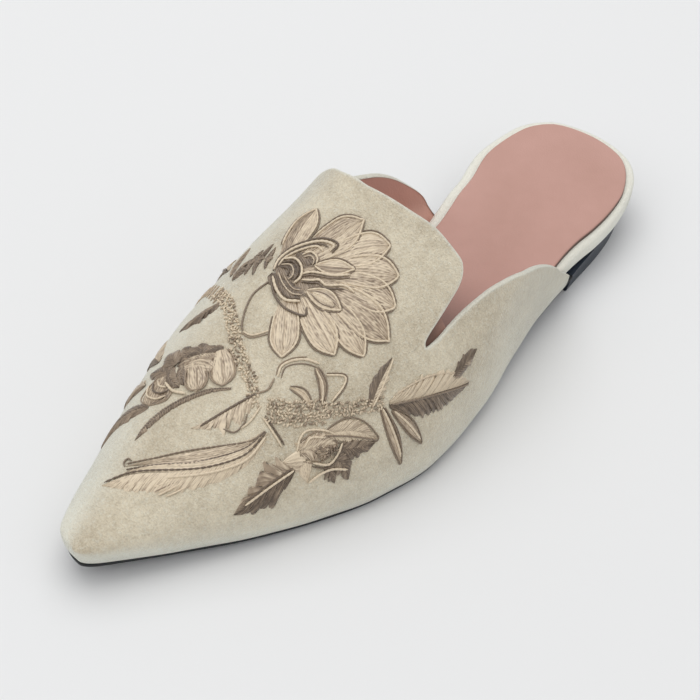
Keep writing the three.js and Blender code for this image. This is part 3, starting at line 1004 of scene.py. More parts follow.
GREAT_FLOWER = (
    *lobes(PETAL,
        (9, C, B, 0.10, (-7, 97), (-9.5, 106), (-10, 115.6)),
        (11, C, S, 0.18, (-4, 99), (1, 109), (6, 118.6)),
        (10, C, C, 0.12, (1, 100), (9, 110), (17.6, 117.6)),
        (9.6, S, C, 0.18, (4, 100), (15, 107.5), (25, 113.2)),
        (9.6, C, S, 0.12, (6, 99), (18, 103.5), (29.6, 106.6)),
        (10.4, S, S, 0.2, (6, 97), (20, 98.5), (33.8, 99)),
        (8.8, C, S, 0.12, (5, 95), (18, 93.5), (31, 90.8)),
        (9.0, C, C, 0.18, (3, 93), (13, 88.5), (23.8, 85)),
        (9, C, C, 0.12, (0, 91), (7, 82), (12.2, 74.6)),
    ),
    *cords(
        (BR, 0.32, 0.25, (-7.1, 91.4), (-8.7, 86), (-7.4, 80.9), (-4.6, 76), (-2.9, 74.5)),
        (P, 0.3, 0.25, (-2.8, 74.4), (0.5, 75), (3.7, 78.8)),
        (B, 0.22, 0.25, (-3.2, 73.9), (0.6, 74.2), (4.4, 78.2)),
    ),
    Lobe(((-6, 98), (4, 98.4), (14, 99)), 11, B, B, lift=0.3, pad=0.2, **ROUND),
    *lobes(INSET,
        (5.2, S, C, 0.5, (2, 101), (7.5, 103.6), (13.2, 106.6)),
        (6.0, C, S, 0.5, (5, 94), (11, 95), (17.6, 95.4)),
    ),
    Lobe(((6.6, 94.3), (11, 94.8), (15.4, 95)), 2.4, P, P, lift=0.8, belly=0.5, root=0.2,
        outline=BR),
    Lobe(((-8, 95.6), (-3.6, 96.4), (0.4, 97)), 6.6, BR, D, lift=0.55, pad=0.4, **ROUND),
    Lobe(((-5, 100.6), (-1, 102), (2.6, 102.8)), 4.6, D, BR, lift=0.5, pad=0.4, **ROUND),
    Lobe(((-8.4, 92.6), (-2, 91.4), (6, 92.6)), 5.0, BR, D, lift=0.4, pad=0.3, **ROUND),
    *cords(
        (D, 0.36, 0.75, (-8.2, 94), (-9.6, 98.2), (-8.2, 102.5), (-4.6, 106.3), (-0.6, 108.9),
         (3.8, 109.4), (4, 106.4)),
        (P, 0.44, 0.9, (-8.2, 94.4), (-9, 98.1), (-7.5, 102), (-4.2, 105.5), (-0.6, 107.9),
         (3, 108.5), (3.2, 106.6)),
        (D, 0.3, 0.85, (-8, 95), (-8.4, 97.6), (-7, 101), (-4, 104.4), (-0.6, 106.9), (2, 107.3)),
        (P, 0.34, 0.9, (-7.8, 96), (-7.6, 99), (-5.2, 102.6), (-1.4, 105.8), (1.4, 105.6)),
        (P, 0.38, 1.1, (-7.6, 98.4), (-4.6, 99.9), (-1.2, 98.9), (0.7, 96.2), (0.2, 93.6)),
        (D, 0.3, 1.15, (-7.2, 97.4), (-4.6, 98.8), (-1.8, 97.9), (-0.4, 95.8), (-0.8, 93.8)),
        (C, 0.26, 1.15, (-7, 96.6), (-4.6, 97.7), (-2.6, 96.9), (-1.6, 95.2), (-2, 93.8)),
        (D, 0.28, 1.15, (-6.8, 95.8), (-4.8, 96.5), (-3.4, 95.8), (-3, 94.4)),
        (P, 0.3, 1.0, (-3.4, 101.8), (-1.7, 103.7), (1.2, 103.2), (2.2, 101.4)),
        (C, 0.24, 1.0, (-2.6, 101.4), (-1, 102.7), (0.8, 102.2), (1.4, 100.8)),
        (P, 0.46, 0.8, (-7.1, 92.6), (-3.2, 89.8), (1.2, 88.5), (5.5, 90.5)),
        (D, 0.3, 0.8, (-6.8, 93.2), (-2.8, 90.7), (1.4, 89.5), (5, 91.2)),
        (C, 0.24, 0.95, (-6.2, 94.2), (-2.4, 92), (1.6, 91), (4.6, 92.2)),
        (S, 0.22, 0.95, (-4.6, 94.6), (-1.8, 93.2), (1.4, 92.4), (3.8, 93.4)),
        (D, 0.38, 0.7, (-6.8, 91.5), (-2.6, 88.2), (3, 86.5), (9.3, 87.8), (8.2, 90.2)),
        (P, 0.38, 0.85, (0.3, 97.1), (2.7, 99.2), (8.7, 101.6), (12.8, 104.6)),
        (BR, 0.28, 0.75, (0.6, 96.5), (3, 98.4), (8.9, 100.8), (13.2, 103.8)),
        (P, 0.38, 0.85, (1.5, 95.8), (4.2, 97.2), (6, 98.4), (9, 98.4), (13.3, 101.2), (17, 101.4)),
        (D, 0.28, 0.75, (1.6, 95.2), (4.4, 96.5), (6.4, 97.5), (9.2, 97.5), (13.8, 100.3)),
    ),
)
CALYX = (
    *cords(
        (P, 0.36, 0.25, (14.9, 69.9), (13.8, 72.8), (15.1, 75.8), (18.1, 78.7), (22, 80.4)),
        (BR, 0.22, 0.12, (15.9, 70.2), (14.9, 72.9), (16, 75.2), (18.8, 77.7), (22.2, 79.3)),
        (B, 0.2, 0.1, (14.2, 69.8), (13.1, 72.8), (14.6, 76.4), (17.8, 79.5)),
    ),
    Lobe(((19.6, 70), (23.8, 71.4), (29, 70.4)), 2.0, P, C, belly=0.5, pad=0.3, outline=BR,
        **SATIN),
    Lobe(((22, 79), (26.6, 77), (30.4, 72.8)), 2.2, C, B, belly=0.5, root=0.4, pad=0.35, outline=BR,
        **SATIN),
    *cords(
        (P, 0.26, 0.5, (22.6, 78.4), (26.6, 76.9), (30, 73.2)),
        (P, 0.3, 0.22, (25.4, 79.5), (29.8, 83.1), (31.4, 81.1), (31.6, 75.9)),
        (BR, 0.2, 0.1, (25.2, 80), (29.8, 83.7), (32, 81.3), (32.1, 76)),
    ),
)
INNER_FLOWER = (
    Lobe(((-4.2, 67.6), (-9.4, 64.2), (-14.6, 60.6), (-18, 56.8), (-18.6, 52)), 5.0, BR, D,
        belly=0.6, root=0.3, lift=0.1),
    *lobes(ROUND,
        (5.4, D, BR, 0.05, (-14, 54.2), (-18, 54.4), (-23, 53.6)),
        (6, BR, D, 0.2, (-14, 57.6), (-17.6, 59), (-21.4, 60)),
        (5.4, D, BR, 0.05, (-11.5, 60.4), (-14.4, 62), (-16.8, 63.4)),
        (4.6, D, D, 0.2, (-8.4, 62.8), (-10.2, 64.6), (-11.6, 66)),
    ),
    Lobe(((-3.2, 65.2), (-8.4, 62.2), (-13.4, 57.4)), 3.0, S, B, outline=D, **ROUND),
    *lobes(ROUND,
        (4.2, D, BR, 0.05, (-15.4, 56.6), (-12.8, 53.4), (-7.6, 51.8)),
        (3.4, BR, D, 0.15, (-12, 58.4), (-10, 55.2), (-6.8, 53)),
    ),
    *lobes(BLUNT,
        (5.4, C, S, 0.2, (-11.4, 57), (-7.4, 60.4), (-2, 61.4)),
        (6.2, C, S, 0.35, (-9, 60), (-5.4, 57), (-2, 53.2)),
        (7.2, P, C, 0.25, (-4.2, 66.6), (-0.2, 62.8), (3.4, 58.7)),
        (9.6, S, B, 0.05, (-14.6, 53.6), (-13.6, 48.8), (-12.4, 43.8)),
    ),
    *cords(
        (P, 0.3, 0.7, (-18, 49.4), (-15.6, 46.4), (-11.6, 46), (-9.2, 48)),
        (D, 0.32, 0.7, (-17, 50.6), (-14.6, 48.2), (-11.6, 48), (-9.8, 49.6)),
        (P, 0.3, 0.7, (-15.8, 51.4), (-13.8, 50), (-11.2, 50.2)),
        (P, 0.42, 0.5, (-13, 51.6), (-8.6, 50.2), (-4.3, 51.2)),
        (B, 0.26, 0.7, (-6.6, 59.2), (-4.8, 56.8), (-2.9, 54.8)),
        (S, 0.26, 0.7, (-2.6, 65), (0, 62.4), (2, 60.4)),
    ),
    Lobe(((-12, 43.2), (-17.2, 40.4), (-20.8, 36.4), (-22, 30)), 6.4, D, BR, belly=0.42),
    Lobe(((-21, 50), (-28, 49), (-36, 47.6)), 7.4, S, BR, belly=0.45),
    Lobe(((-24, 58.4), (-37, 65), (-46, 73), (-52, 83)), 9.4, S, D, belly=0.4),
    Lobe(((6.1, 59.5), (1, 55.4), (-3.6, 49.6), (-6.2, 44.3), (-7.5, 38.6), (-7.7, 33)), 2.3, D, BR,
        belly=0.8, root=0.3, slant=0.5),
)
FRONT_LEAVES = (
    Lobe(((22, 57), (20.1, 51.4), (15, 44.4), (9.2, 38), (2.4, 31.6), (-4.2, 25.6)), 3.4, C, S,
        **SATIN, root=0.3, pad=0.35, speck=0.2),
    Lobe(((22.2, 57), (20.8, 49.7), (15.6, 41.4), (9.8, 35.3), (1, 28), (-5, 20.6)), 4.4, C, P,
        **SATIN, root=0.3, pad=0.5, speck=0.2),
    Lobe(((22.6, 56), (21.2, 48.4), (15.9, 39.8), (9.2, 32.8), (-0.7, 24.6), (-6, 17.8)), 11.2, C,
        P, belly=0.78, root=0.2, only=1, ragged=0.05, slant=0.8, speck=0.2),
    *cords(
        (P, 0.28, 0.35, (12.2, 31.4), (11, 28.6), (9.3, 24.9)),
        (B, 0.22, 0.3, (11, 31), (9.6, 28.4), (8, 25.2)),
        (P, 0.26, 0.35, (10, 30.6), (8.4, 28.2), (6.8, 25.6)),
        (P, 0.24, 0.3, (13.8, 31.6), (12.6, 28.8), (11.2, 26.2)),
    ),
    Cord(((22, 57), (20, 52.3), (14.8, 46.4), (7.7, 39), (1.7, 32.4), (-4.4, 26.3)), BR, 0.27, 0.3,
        1.5),
    Cord(((21.8, 57), (20.2, 50.3), (15.4, 42.8), (10.5, 36.9), (3.2, 30.8), (-3.1, 25)), D, 0.27,
        0.35, 1.2),
    Cord(((22.2, 57), (21.3, 49.1), (15.9, 40.4), (9.2, 33.6), (-0.7, 25.6), (-5.8, 18.8)), D, 0.3,
        0.5, 1.8),
    *cords(
        (P, 0.38, 0.6, (22.9, 56), (22.6, 48.8), (19, 42), (14.2, 36), (8, 29.8)),
        (BR, 0.28, 0.25, (-4.2, 25.4), (-5.4, 26.4), (-5.2, 27.8), (-3.6, 27.8)),
    ),
    Lobe(((12.9, 62.2), (9.5, 54.3), (4, 44.2)), 9.6, P, C, belly=0.45, point=1.5, ragged=0.2,
        only=1, slant=0.7, speck=0.25),
    *cords(
        (D, 0.42, 0.45, (13, 62.4), (9.3, 54.3), (6, 46.2)),
        (BR, 0.26, 0.35, (11.8, 49.6), (15, 51), (15.6, 54.4), (14.6, 57)),
        (P, 0.3, 0.3, (16.4, 61), (16.6, 56), (15.6, 52.6)),
    ),
)
BRANCH = (
    Seeds(((-23, 84), (-14, 80), (-10, 77), (-3, 71.4), (3, 67.4), (10, 64), (14, 60)), 4.8, 1.0, P,
        0.36, 0.22),
    Seeds(((18.6, 61.4), (26, 66.5), (31.8, 72.9)), 7.0, 0.95, C),
    Seeds(((31.8, 72.9), (37.6, 79.6), (43.4, 87.4)), 4.4, 0.95, C),
    *cords(
        (B, 0.3, 0.25, (13, 62.6), (15, 65.6), (14.4, 69)),
        (D, 0.28, 0.25, (19, 59.9), (23.6, 59.2), (28.6, 58.6)),
        (P, 0.3, 0.25, (18.9, 59.1), (23.5, 58.4), (28.4, 57.8)),
    ),
)
OUTER_BUD = (
    Lobe(((35.6, 57.4), (33, 49.4), (30.2, 38)), 10, B, D, belly=0.42, ragged=0.24, speck=0.15),
    *cords(
        (P, 0.34, 0.75, (35.4, 57), (32.8, 49.4), (30.6, 41.6)),
        (D, 0.26, 0.65, (34.7, 57.2), (32, 49.6), (29.9, 42)),
    ),
    *lobes(TUFT,
        (5.6, P, C, 0.05, (36.4, 61), (33.8, 58.2), (31, 54.8)),
        (5.0, P, C, 0.05, (36.6, 60.8), (39, 59.8), (42, 59)),
        (3.2, P, C, 0.05, (36, 61.8), (33.4, 62), (30.4, 61)),
    ),
    Lobe(((43.4, 68), (47, 69.8), (52.4, 69.9)), 5.6, BR, D, belly=0.4, root=0.3, ragged=0.2),
    Lobe(((42.6, 65.4), (45.6, 66), (49.4, 66)), 4.2, D, BR, belly=0.4, root=0.4, ragged=0.2),
    Lobe(((42.2, 70.4), (46.4, 75), (50.2, 80.6)), 6.0, D, BR, belly=0.5, root=0.3, ragged=0.2),
    Lobe(((36, 69.2), (41.8, 76), (50.4, 82)), 6.0, P, C, belly=0.45, pad=0.5, lift=0.2, outline=BR,
        speck=0.15),
    Lobe(((33.4, 61), (37, 66), (41, 70.6)), 7.0, S, C, outline=B, pad=0.6, lift=0.15, speck=0.25,
        **ROUND),
    Seeds(((37.4, 64.4), (41.6, 69.4)), 3.6, 1.0, BR, 0.36, 0.6, 0.6),
    *cords(
        (P, 0.34, 0.3, (32.6, 60.4), (31, 63.2), (31.6, 66.2), (36.4, 70.4), (41.3, 72.2)),
        (P, 0.3, 0.75, (33.6, 62.4), (33.4, 65.4), (36.6, 68.6)),
        (P, 0.36, 0.6, (41.8, 72), (43, 69.2), (42.8, 66), (38.6, 62.4)),
        (D, 0.28, 0.45, (42.6, 72), (43.8, 69.2), (43.5, 65.6), (39.2, 61.8)),
        (P, 0.36, 0.65, (41.8, 59.3), (42.9, 63), (45, 66.6), (49, 70.4)),
        (BR, 0.28, 0.8, (36.4, 69), (42.6, 75), (49.8, 81.2)),
    ),
)
OUTER_LEAVES = (
    Lobe(((44, 86.5), (52, 86.4), (64.4, 86.8)), 3.2, S, B, lift=0.05, **BLADE),
    *cords(
        (P, 0.36, 0.7, (44.6, 86.6), (52, 86.6), (61, 86.8)),
        (BR, 0.26, 0.65, (45, 87.4), (52, 87.6), (60, 87.6)),
    ),
    Lobe(((47.4, 89), (55, 91.9), (64.8, 94.8)), 3.0, S, B, lift=0.05, **BLADE),
    Cord(((48, 89.3), (55.2, 92), (62.4, 94.2)), P, 0.34, 0.7),
    Lobe(((45.6, 89), (52, 97.8), (58.4, 106.8), (67.4, 118.4)), 10.6, D, P, belly=0.5, ragged=0.08,
        root=0.2, speck=0.15),
    *cords(
        (BR, 0.3, 0.7, (46.2, 89.6), (52.4, 98), (59, 107), (66.6, 117)),
        (C, 0.26, 0.15, (45.2, 91.8), (48, 99), (52.2, 106), (60.8, 115.4)),
    ),
    Lobe(((58.6, 111), (60, 117), (61.6, 124)), 5.6, BR, D, belly=0.5, ragged=0.15),
    Lobe(((41.4, 84), (39.2, 89.6), (37.4, 97)), 5.6, C, D, belly=0.4),
    Cord(((42, 84.6), (40.4, 90), (37.8, 97)), P, 0.28, 0.5),
)
INNER_LEAVES = (
    Lobe(((-29, 93.6), (-46, 102), (-57, 114), (-62.6, 138)), 10, C, BR, belly=0.4, ragged=0.15),
    # These leaflets are pale thread; their dark tones are painted shade where they turn away from
    # the light.
    Lobe(((-23.4, 90), (-26, 95), (-27, 102)), 3.4, BR, B, belly=0.5),
    Lobe(((-20.5, 88.4), (-20.7, 92.2), (-20, 96.6)), 4.2, D, BR, belly=0.45, ragged=0.2),
    *lobes(JAGGED,
        (2.2, BR, D, 0.05, (-17.4, 90.6), (-18.6, 95), (-18.2, 100)),
        (2.6, D, BR, 0.05, (-14.4, 91.2), (-16.4, 95.4), (-16, 102.4)),
        (2.2, BR, D, 0.05, (-11.8, 93.8), (-13.4, 97.4), (-14, 101.4)),
    ),
    Ladder(((-18, 81), (-30, 86), (-40, 87), (-54, 89)), 4.6, 2.6, Cord((), S, 0.36, 0.15)),
    Lobe(((-17.2, 80), (-20, 75), (-26, 69.2)), 4.6, BR, D, lift=0.05, **JAGGED),
    Cord(((-30, 94), (-46, 101.6), (-56.6, 113.6), (-62, 136)), D, 0.36, 0.7),
)


@dataclass
class ThreadWork:
    """The raised thread flowers, leaves and stems, drawn in millimetres of the chart."""

    chart: Chart
    pitch: float = 0.75
    ridge: float = 0.11
    seed: int = 11
    thread_points: int = 3
    row_step: float = 0.9
    least_rows: int = 12
    least_threads: tuple = (3, 6)
    axis_step: float = 0.25
    cord_step: float = 0.5
    bead_step: float = 0.22
    midrib: Pair = (0.4, 0.14)
    chevron_lead: Triple = (0.6, 0.3, 0.4)
    crown_power: float = 2.4
    crown_fill: float = 2.2
    ridge_rise: float = 3.0
    edge_drop: float = 0.35
    edge_start: float = 0.9
    least_half: float = 0.05
    outline_stride: int = 4
    cord_taper: Pair = (0.4, 0.3)
    cord_sides: tuple = (7, 6)
    twist_turn: float = 2.1
    twist_plump: float = 0.12
    twist_tint: float = 0.05
    bead_shape: Triple = (0.3, 0.8, 0.6)
    seed_points: int = 5
    seed_scatter: float = 0.2
    seed_lean: Pair = (0.7, 0.9)
    seed_length: float = 1.5
    seed_rise: float = 0.3
    seed_plump: Pair = (0.3, 0.6)
    seed_tint: float = 0.12
    bar_lean: float = 0.5
    # Each thread's own tint, then painted light on thread tops and padded crowns.
    tints_and_painted_light: Triple = (0.09, 0.18, 0.06)
    chevron_aside: tuple = (0.0, 0.12, 0.3, 0.5, 0.7, 0.86, 0.96, 1.0)
    groups: tuple = (GREAT_FLOWER, CALYX, INNER_FLOWER, FRONT_LEAVES, BRANCH, OUTER_BUD,
                     OUTER_LEAVES, INNER_LEAVES)

    def __post_init__(self) -> None:
        """Starts the seeded numbers that set one thread apart from the next."""
        self.random = np.random.default_rng(self.seed)

    def outline(self, lobe: Lobe) -> tuple[Array, Array, Array]:
        """Returns a lobe's axis, its sideways directions and its half widths."""
        axis = trail(lobe.axis, self.axis_step)
        s = np.linspace(0, 1, len(axis))
        rise = 1 - (1 - lobe.root) * (1 - np.minimum(s / lobe.belly, 1)) ** 2
        fall = 1 - np.clip((s - lobe.belly) / (1 - lobe.belly), 0, 1) ** lobe.point
        half = 0.5 * lobe.width * np.minimum(rise, np.maximum(fall, 0.0))
        return axis, compass(axis)[1], half

    def layout(self, lobe: Lobe, length: float) -> tuple[Array, Array, Array, Array]:
        """Spaces the threads of a field.

        Args:
            lobe: The field.
            length: The length of its axis.

        Returns:
            Shares along the axis, shares out to the edge, the threads' numbers and their round
            tops as a wave.
        """
        chevron = lobe.fill is Fill.CHEVRON
        run = length if chevron else 0.5 * lobe.width
        threads = max(int(run / self.pitch), self.least_threads[chevron])
        count = np.arange(self.thread_points * threads + 1)
        share = count / (self.thread_points * threads)
        number = (count / self.thread_points).astype(int)
        wave = np.cos(2 * math.pi * count / self.thread_points)
        if not chevron:
            rows = np.linspace(0, 1, max(int(length / self.row_step), self.least_rows))
            return rows[:, None], share[None], number[None], wave[None]
        aside = np.array(self.chevron_aside)[None]
        lead = lobe.slant * 0.5 * lobe.width / length
        longer, back, pivot = self.chevron_lead
        along = share[:, None] * (1 + longer * lead) - back * lead + lead * (aside - pivot)
        return np.clip(along, 0, 1), aside, number[:, None], wave[:, None]

    def add_lobe(self, skin: Skin, edges: Skin, lobe: Lobe) -> None:
        """Adds a satin field, thread by thread, and its outline.

        Args:
            skin: Where the field is added.
            edges: Where the outline is added.
            lobe: The field.
        """
        axis, aside, half = self.outline(lobe)
        s = np.linspace(0, 1, len(axis))
        along, v, number, wave = self.layout(lobe, float(lengths(axis).sum()))
        chevron = float(lobe.fill is Fill.CHEVRON)
        reach = np.interp(along, s, half)
        base, drift = (np.stack([np.interp(along, s, line[:, k]) for k in (0, 1)], -1)
                       for line in (axis, aside))
        crown = 1 - v**self.crown_power
        crown = crown * np.sqrt(np.clip(self.crown_fill * reach / lobe.width, 0, 1))
        deep, wide = self.midrib
        dip = 1 - deep * np.exp(-((v / wide) ** 2)) * chevron
        lift = lobe.lift + lobe.pad * crown * dip
        lift = lift + self.ridge * wave * np.minimum(1, self.ridge_rise * crown)
        lift = lift - self.edge_drop * smoothstep(v, self.edge_start, 1.0)
        sides = [side for side in (-1, 1) if side != -lobe.only]
        for side in sides:
            jitter = self.random.normal(0, 1, number.max() + 1)[number]
            spread = side * v * reach * (1 + lobe.ragged * chevron * jitter)
            flat = base + drift * spread[..., None]
            speck = self.random.normal(0, lobe.speck, crown.shape)
            tone = lobe.left if side < 0 else lobe.right
            # Each thread's own tint, then painted light: lighter on each thread's round top and on
            # the padded crown, darker in the grooves and towards the edges.
            own, top, middle = self.tints_and_painted_light
            colour = tone.value + own * jitter + speck + top * wave + middle * crown
            points = self.chart.lay(flat[..., 0], flat[..., 1], lift)
            skin.grid(points, np.clip(colour, 0, 1), flip=side < 0)
        first = int(lobe.outline_from * len(axis))
        for tone, (out, radius, rise) in ((lobe.outline, OUTLINE), (lobe.piping, PIPING)):
            if tone is not None:
                way = aside * np.maximum(half + out, self.least_half)[:, None]
                lines = [(axis + side * way)[first::self.outline_stride] for side in sides]
                ring = np.vstack([lines[0], *(line[::-1] for line in lines[1:])])
                self.add_cord(edges, Cord(tuple(map(tuple, ring)), tone, radius, lobe.lift + rise))

    def add_thread(self, skin: Skin, flat: Array, lift: Array | float, radius: Array,
                   tone: Array | float, sides: int) -> None:
        """Adds a round thread over the skin of the last.

        Args:
            skin: Where it is added.
            flat: Its line's points on the chart.
            lift: Its height at each point.
            radius: Its radius at each point.
            tone: Its tone at each point.
            sides: Number of its sides.
        """
        spine = self.chart.lay(*flat.T, lift)
        ahead = unit(np.gradient(spine, axis=0))
        aside = unit(np.cross(ahead, self.chart.last.normal(*self.chart.place(*flat.T))))
        angle = np.linspace(0, 2 * math.pi, sides, endpoint=False)[None, :, None]
        ring = np.cos(angle) * aside[:, None] + np.sin(angle) * np.cross(aside, ahead)[:, None]
        value = np.broadcast_to(np.asarray(tone, float), len(flat))[:, None]
        skin.grid(spine[:, None] + radius[:, None, None] * ring, value, wrap=True)

    def add_cord(self, skin: Skin, cord: Cord) -> None:
        """Adds a couched thread, plump between its couching stitches if it is beaded."""
        flat = trail(cord.line, self.bead_step if cord.bead else self.cord_step)
        count = np.arange(len(flat))
        twist = np.sin(count * self.twist_turn)
        tip, growth = self.cord_taper
        ends = np.minimum(1, tip + growth * np.minimum(count, count[::-1]))
        plump = 1 + self.twist_plump * twist
        if cord.bead:
            waist, swell, power = self.bead_shape
            beads = np.abs(np.sin(count * math.pi * self.bead_step / cord.bead))
            plump = waist + swell * beads**power
        self.add_thread(skin, flat, np.full(len(flat), cord.lift), cord.radius * ends * plump,
                        cord.tone.value + self.twist_tint * twist,
                        self.cord_sides[cord.bead > 0])

    def add_seeds(self, skin: Skin, seeds: Seeds) -> None:
        """Adds a band of seed stitches, each a short plump loop."""
        line = trail(seeds.line, seeds.spacing)
        ahead, aside = compass(line)
        lanes = max(int(seeds.band / seeds.spacing), 1)
        steps = np.linspace(-1, 1, self.seed_points)
        arch = np.sqrt(np.clip(1 - steps**2, 0, 1))
        waist, swell = self.seed_plump
        radius = seeds.size * (waist + swell * arch)
        for k in range(lanes):
            offset = (k - (lanes - 1) / 2) * seeds.spacing
            centre = line + aside * offset + ahead * (0.5 * seeds.spacing * (k % 2))
            centre = centre + self.random.normal(0, self.seed_scatter * seeds.spacing, centre.shape)
            lean = self.random.normal(*self.seed_lean, len(centre))
            way = ahead * np.cos(lean)[:, None] + aside * np.sin(lean)[:, None]
            for spot, run in zip(centre, way):
                flat = spot + run * (steps * self.seed_length * seeds.size)[:, None]
                other = self.random.random() < seeds.mix
                tone = (Tone.BRONZE if other else seeds.tone).value
                tone += self.random.normal(0, self.seed_tint)
                self.add_thread(skin, flat, seeds.lift + self.seed_rise * arch, radius,
                                np.clip(tone, 0, 1), self.seed_points)

    def add_ladder(self, skin: Skin, ladder: Ladder) -> None:
        """Adds a stem of bars."""
        line = trail(ladder.line, ladder.spacing)
        ahead, aside = compass(line)
        reach = 0.5 * ladder.bar * (aside - self.bar_lean * ahead)
        for ends in zip(line - reach, line + reach):
            self.add_cord(skin, replace(ladder.cord, line=tuple(map(tuple, ends))))

    def build(self, thread: bpy.types.Material) -> None:
        """Builds the satin fields, and the cords and seeds."""
        satin, couched = Skin(), Skin()
        for motif in (m for group in self.groups for m in group):
            if isinstance(motif, Lobe):
                self.add_lobe(satin, couched, motif)
            elif isinstance(motif, Cord):
                self.add_cord(couched, motif)
            elif isinstance(motif, Seeds):
                self.add_seeds(couched, motif)
            else:
                self.add_ladder(couched, motif)
        satin.piece("thread_satin", thread, "velvet")
        couched.piece("thread_cords", thread, "velvet")


# Bottom

@dataclass
class Bottom:
    """The layers under the foot: outsole, heel, velvet footbed and leather insole."""

    last: Last
    seam_gap: float = 0.3
    upper_wall: float = 2.0
    outsole_thickness: float = 1.4
    outsole_bevel: float = 0.5
    breast_at: float = 0.228
    breast_reach: float = 0.002
    heel_inset_back: float = 2.4
    heel_inset_breast: float = 1.2
    heel_taper: float = 1.2
    heel_bevel: float = 0.5
    footbed_toe: float = 0.962
    top_radius: float = 2.6
    foot_radius: float = 2.2
    insole_thickness: float = 1.4
    insole_seat: float = 0.05
    insole_radius: float = 0.7
    insole_short: float = 0.004
    insole_shade: float = 0.85
    insole_paint: tuple = (1, 1, 0.6, 0, 0, 0)
    shade_span: Pair = (0.322, 0.455)
    rim_span: Pair = (0.17, 0.006)
    cap_columns: int = 13
    lower_share: float = 0.4
    upper_share: float = 0.5
    thickness: tuple = ((0.0, 7.6), (0.2, 7.6), (0.34, 5.6), (0.5, 3.4), (0.7, 2.6), (1.0, 2.2))
    rim: tuple = ((0.0, 0.0), (0.12, 0.2), (0.2, 1.4))
    set_in: tuple = ((0.0, 0.4), (0.92, 0.4), (1.0, 0.0))
    margin: tuple = (
        (0.0, 4.4, 4.4), (0.05, 3.2, 4.6), (0.1, 1.9, 4.3), (0.2, 2.0, 4.4),
        (0.28, 1.6, 4.8), (0.36, 0.8, 2.4), (0.45, 0.6, 0.6), (1.0, 0.6, 0.6),
    )

    def __post_init__(self) -> None:
        """Draws the curves through the tables."""
        self.board = SmoothCurve(*zip(*self.thickness))
        self.rim_inset = SmoothCurve(*zip(*self.rim))
        self.outsole_set_in = SmoothCurve(*zip(*self.set_in))
        places, outer, inner = zip(*self.margin)
        self.insole_margin = {OUTER: SmoothCurve(places, outer), INNER: SmoothCurve(places, inner)}

    def layer(self, start: float, end: float, rings: Rings, steps: int = 180,
              paint: Sequence[float] = (), shade: float = 0.0) -> Skin:
        """Builds a closed layer.

        Args:
            start: The place of its back end.
            end: The place of its front end.
            rings: The inset and height of each ring, from its foot to its top.
            steps: Number of steps along it.
            paint: The painted value of each ring, or none.
            shade: The painted shade that the caps reach under the vamp.

        Returns:
            Its skin.
        """
        at = self.last.place(np.linspace(self.last.turn(start), self.last.turn(end), steps + 1))
        cut = np.abs(at - self.breast_at) < self.breast_reach
        loops = []
        for inset, height in rings:
            for side in (OUTER, INNER):
                line = self.last.edge(at, side, inset(at, side))
                line[cut, 1] = self.last.length * (0.5 - at[cut])
                line[:, 2] = height(0.5 - line[:, 1] / self.last.length)
                loops.append(line)
        wall = np.stack(loops).reshape(len(rings), 2, len(at), 3)
        skin = Skin()
        around = np.concatenate([wall[:, 0], wall[:, 1, ::-1]], axis=1)
        tones = np.array(paint or [0.0] * len(rings))
        skin.grid(around, tones[:, None], wrap=True, flip=True)
        share = np.linspace(0, 1, self.cap_columns)[None, :, None]
        # Painted shade on the caps, rising under the vamp.
        under_vamp = shade * smoothstep(at, *self.shade_span)[:, None]
        for ring, flip in ((0, False), (-1, True)):
            cap = wall[ring, 0][:, None] * (1 - share) + wall[ring, 1][:, None] * share
            skin.grid(cap, tones[ring] + under_vamp, flip=flip)
        return skin

    @staticmethod
    def rounded(edge: Inset, level: Height, radius: Height, degrees: Sequence[float],
                up: int) -> Rings:
        """Rounds an edge between a wall and a level face.

        Args:
            edge: The wall's inset.
            level: The face's height.
            radius: The edge's radius.
            degrees: Where the rings lie, from 0 at the wall to 90 at the face.
            up: 1 if the wall rises from the face, -1 if it falls from it.

        Returns:
            The inset and height of each ring.
        """
        return [(lambda at, side, a=a: edge(at, side) + radius(at) * (1 - math.cos(a)),
                 lambda at, a=a: level(at) + up * radius(at) * (1 - math.sin(a)))
                for a in np.radians(degrees)]

    def footbed_inset(self, at: Array, side: int) -> Array:
        """Returns the footbed's inset: the open rim at the heel, then inside the upper's wall."""
        wall = self.last.tuck_in(at, side) + self.upper_wall + self.seam_gap
        rim = self.rim_inset(at)
        start, short = self.rim_span
        end = self.last.quarter_end[COLUMN[side]] - short
        return rim + (wall - rim) * smoothstep(at, start, end)

    def footbed_top(self, at: Array) -> Array:
        """Returns the height of the footbed's top."""
        return self.last.feather(at) + self.board(at)

    def seam(self, at: Array) -> Array:
        """Returns the height of the outsole's and the heel's top."""
        return self.last.feather(at) - self.seam_gap

    def build_outsole(self, finish: bpy.types.Material) -> None:
        """Builds the outsole with its bevelled tread edge."""
        tread = lambda at: self.seam(at) - self.outsole_thickness
        edge = lambda at, side: self.last.tuck_in(at, side) + self.outsole_set_in(at)
        rings = self.rounded(edge, tread, lambda at: self.outsole_bevel, (90, 60, 30, 0), 1)
        rings.append((edge, self.seam))
        skin = self.layer(self.breast_at + self.seam_gap / self.last.length, 1.0, rings)
        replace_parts(skin.piece("outsole_sheet", finish, "outsole", crisp=40), "outsole")

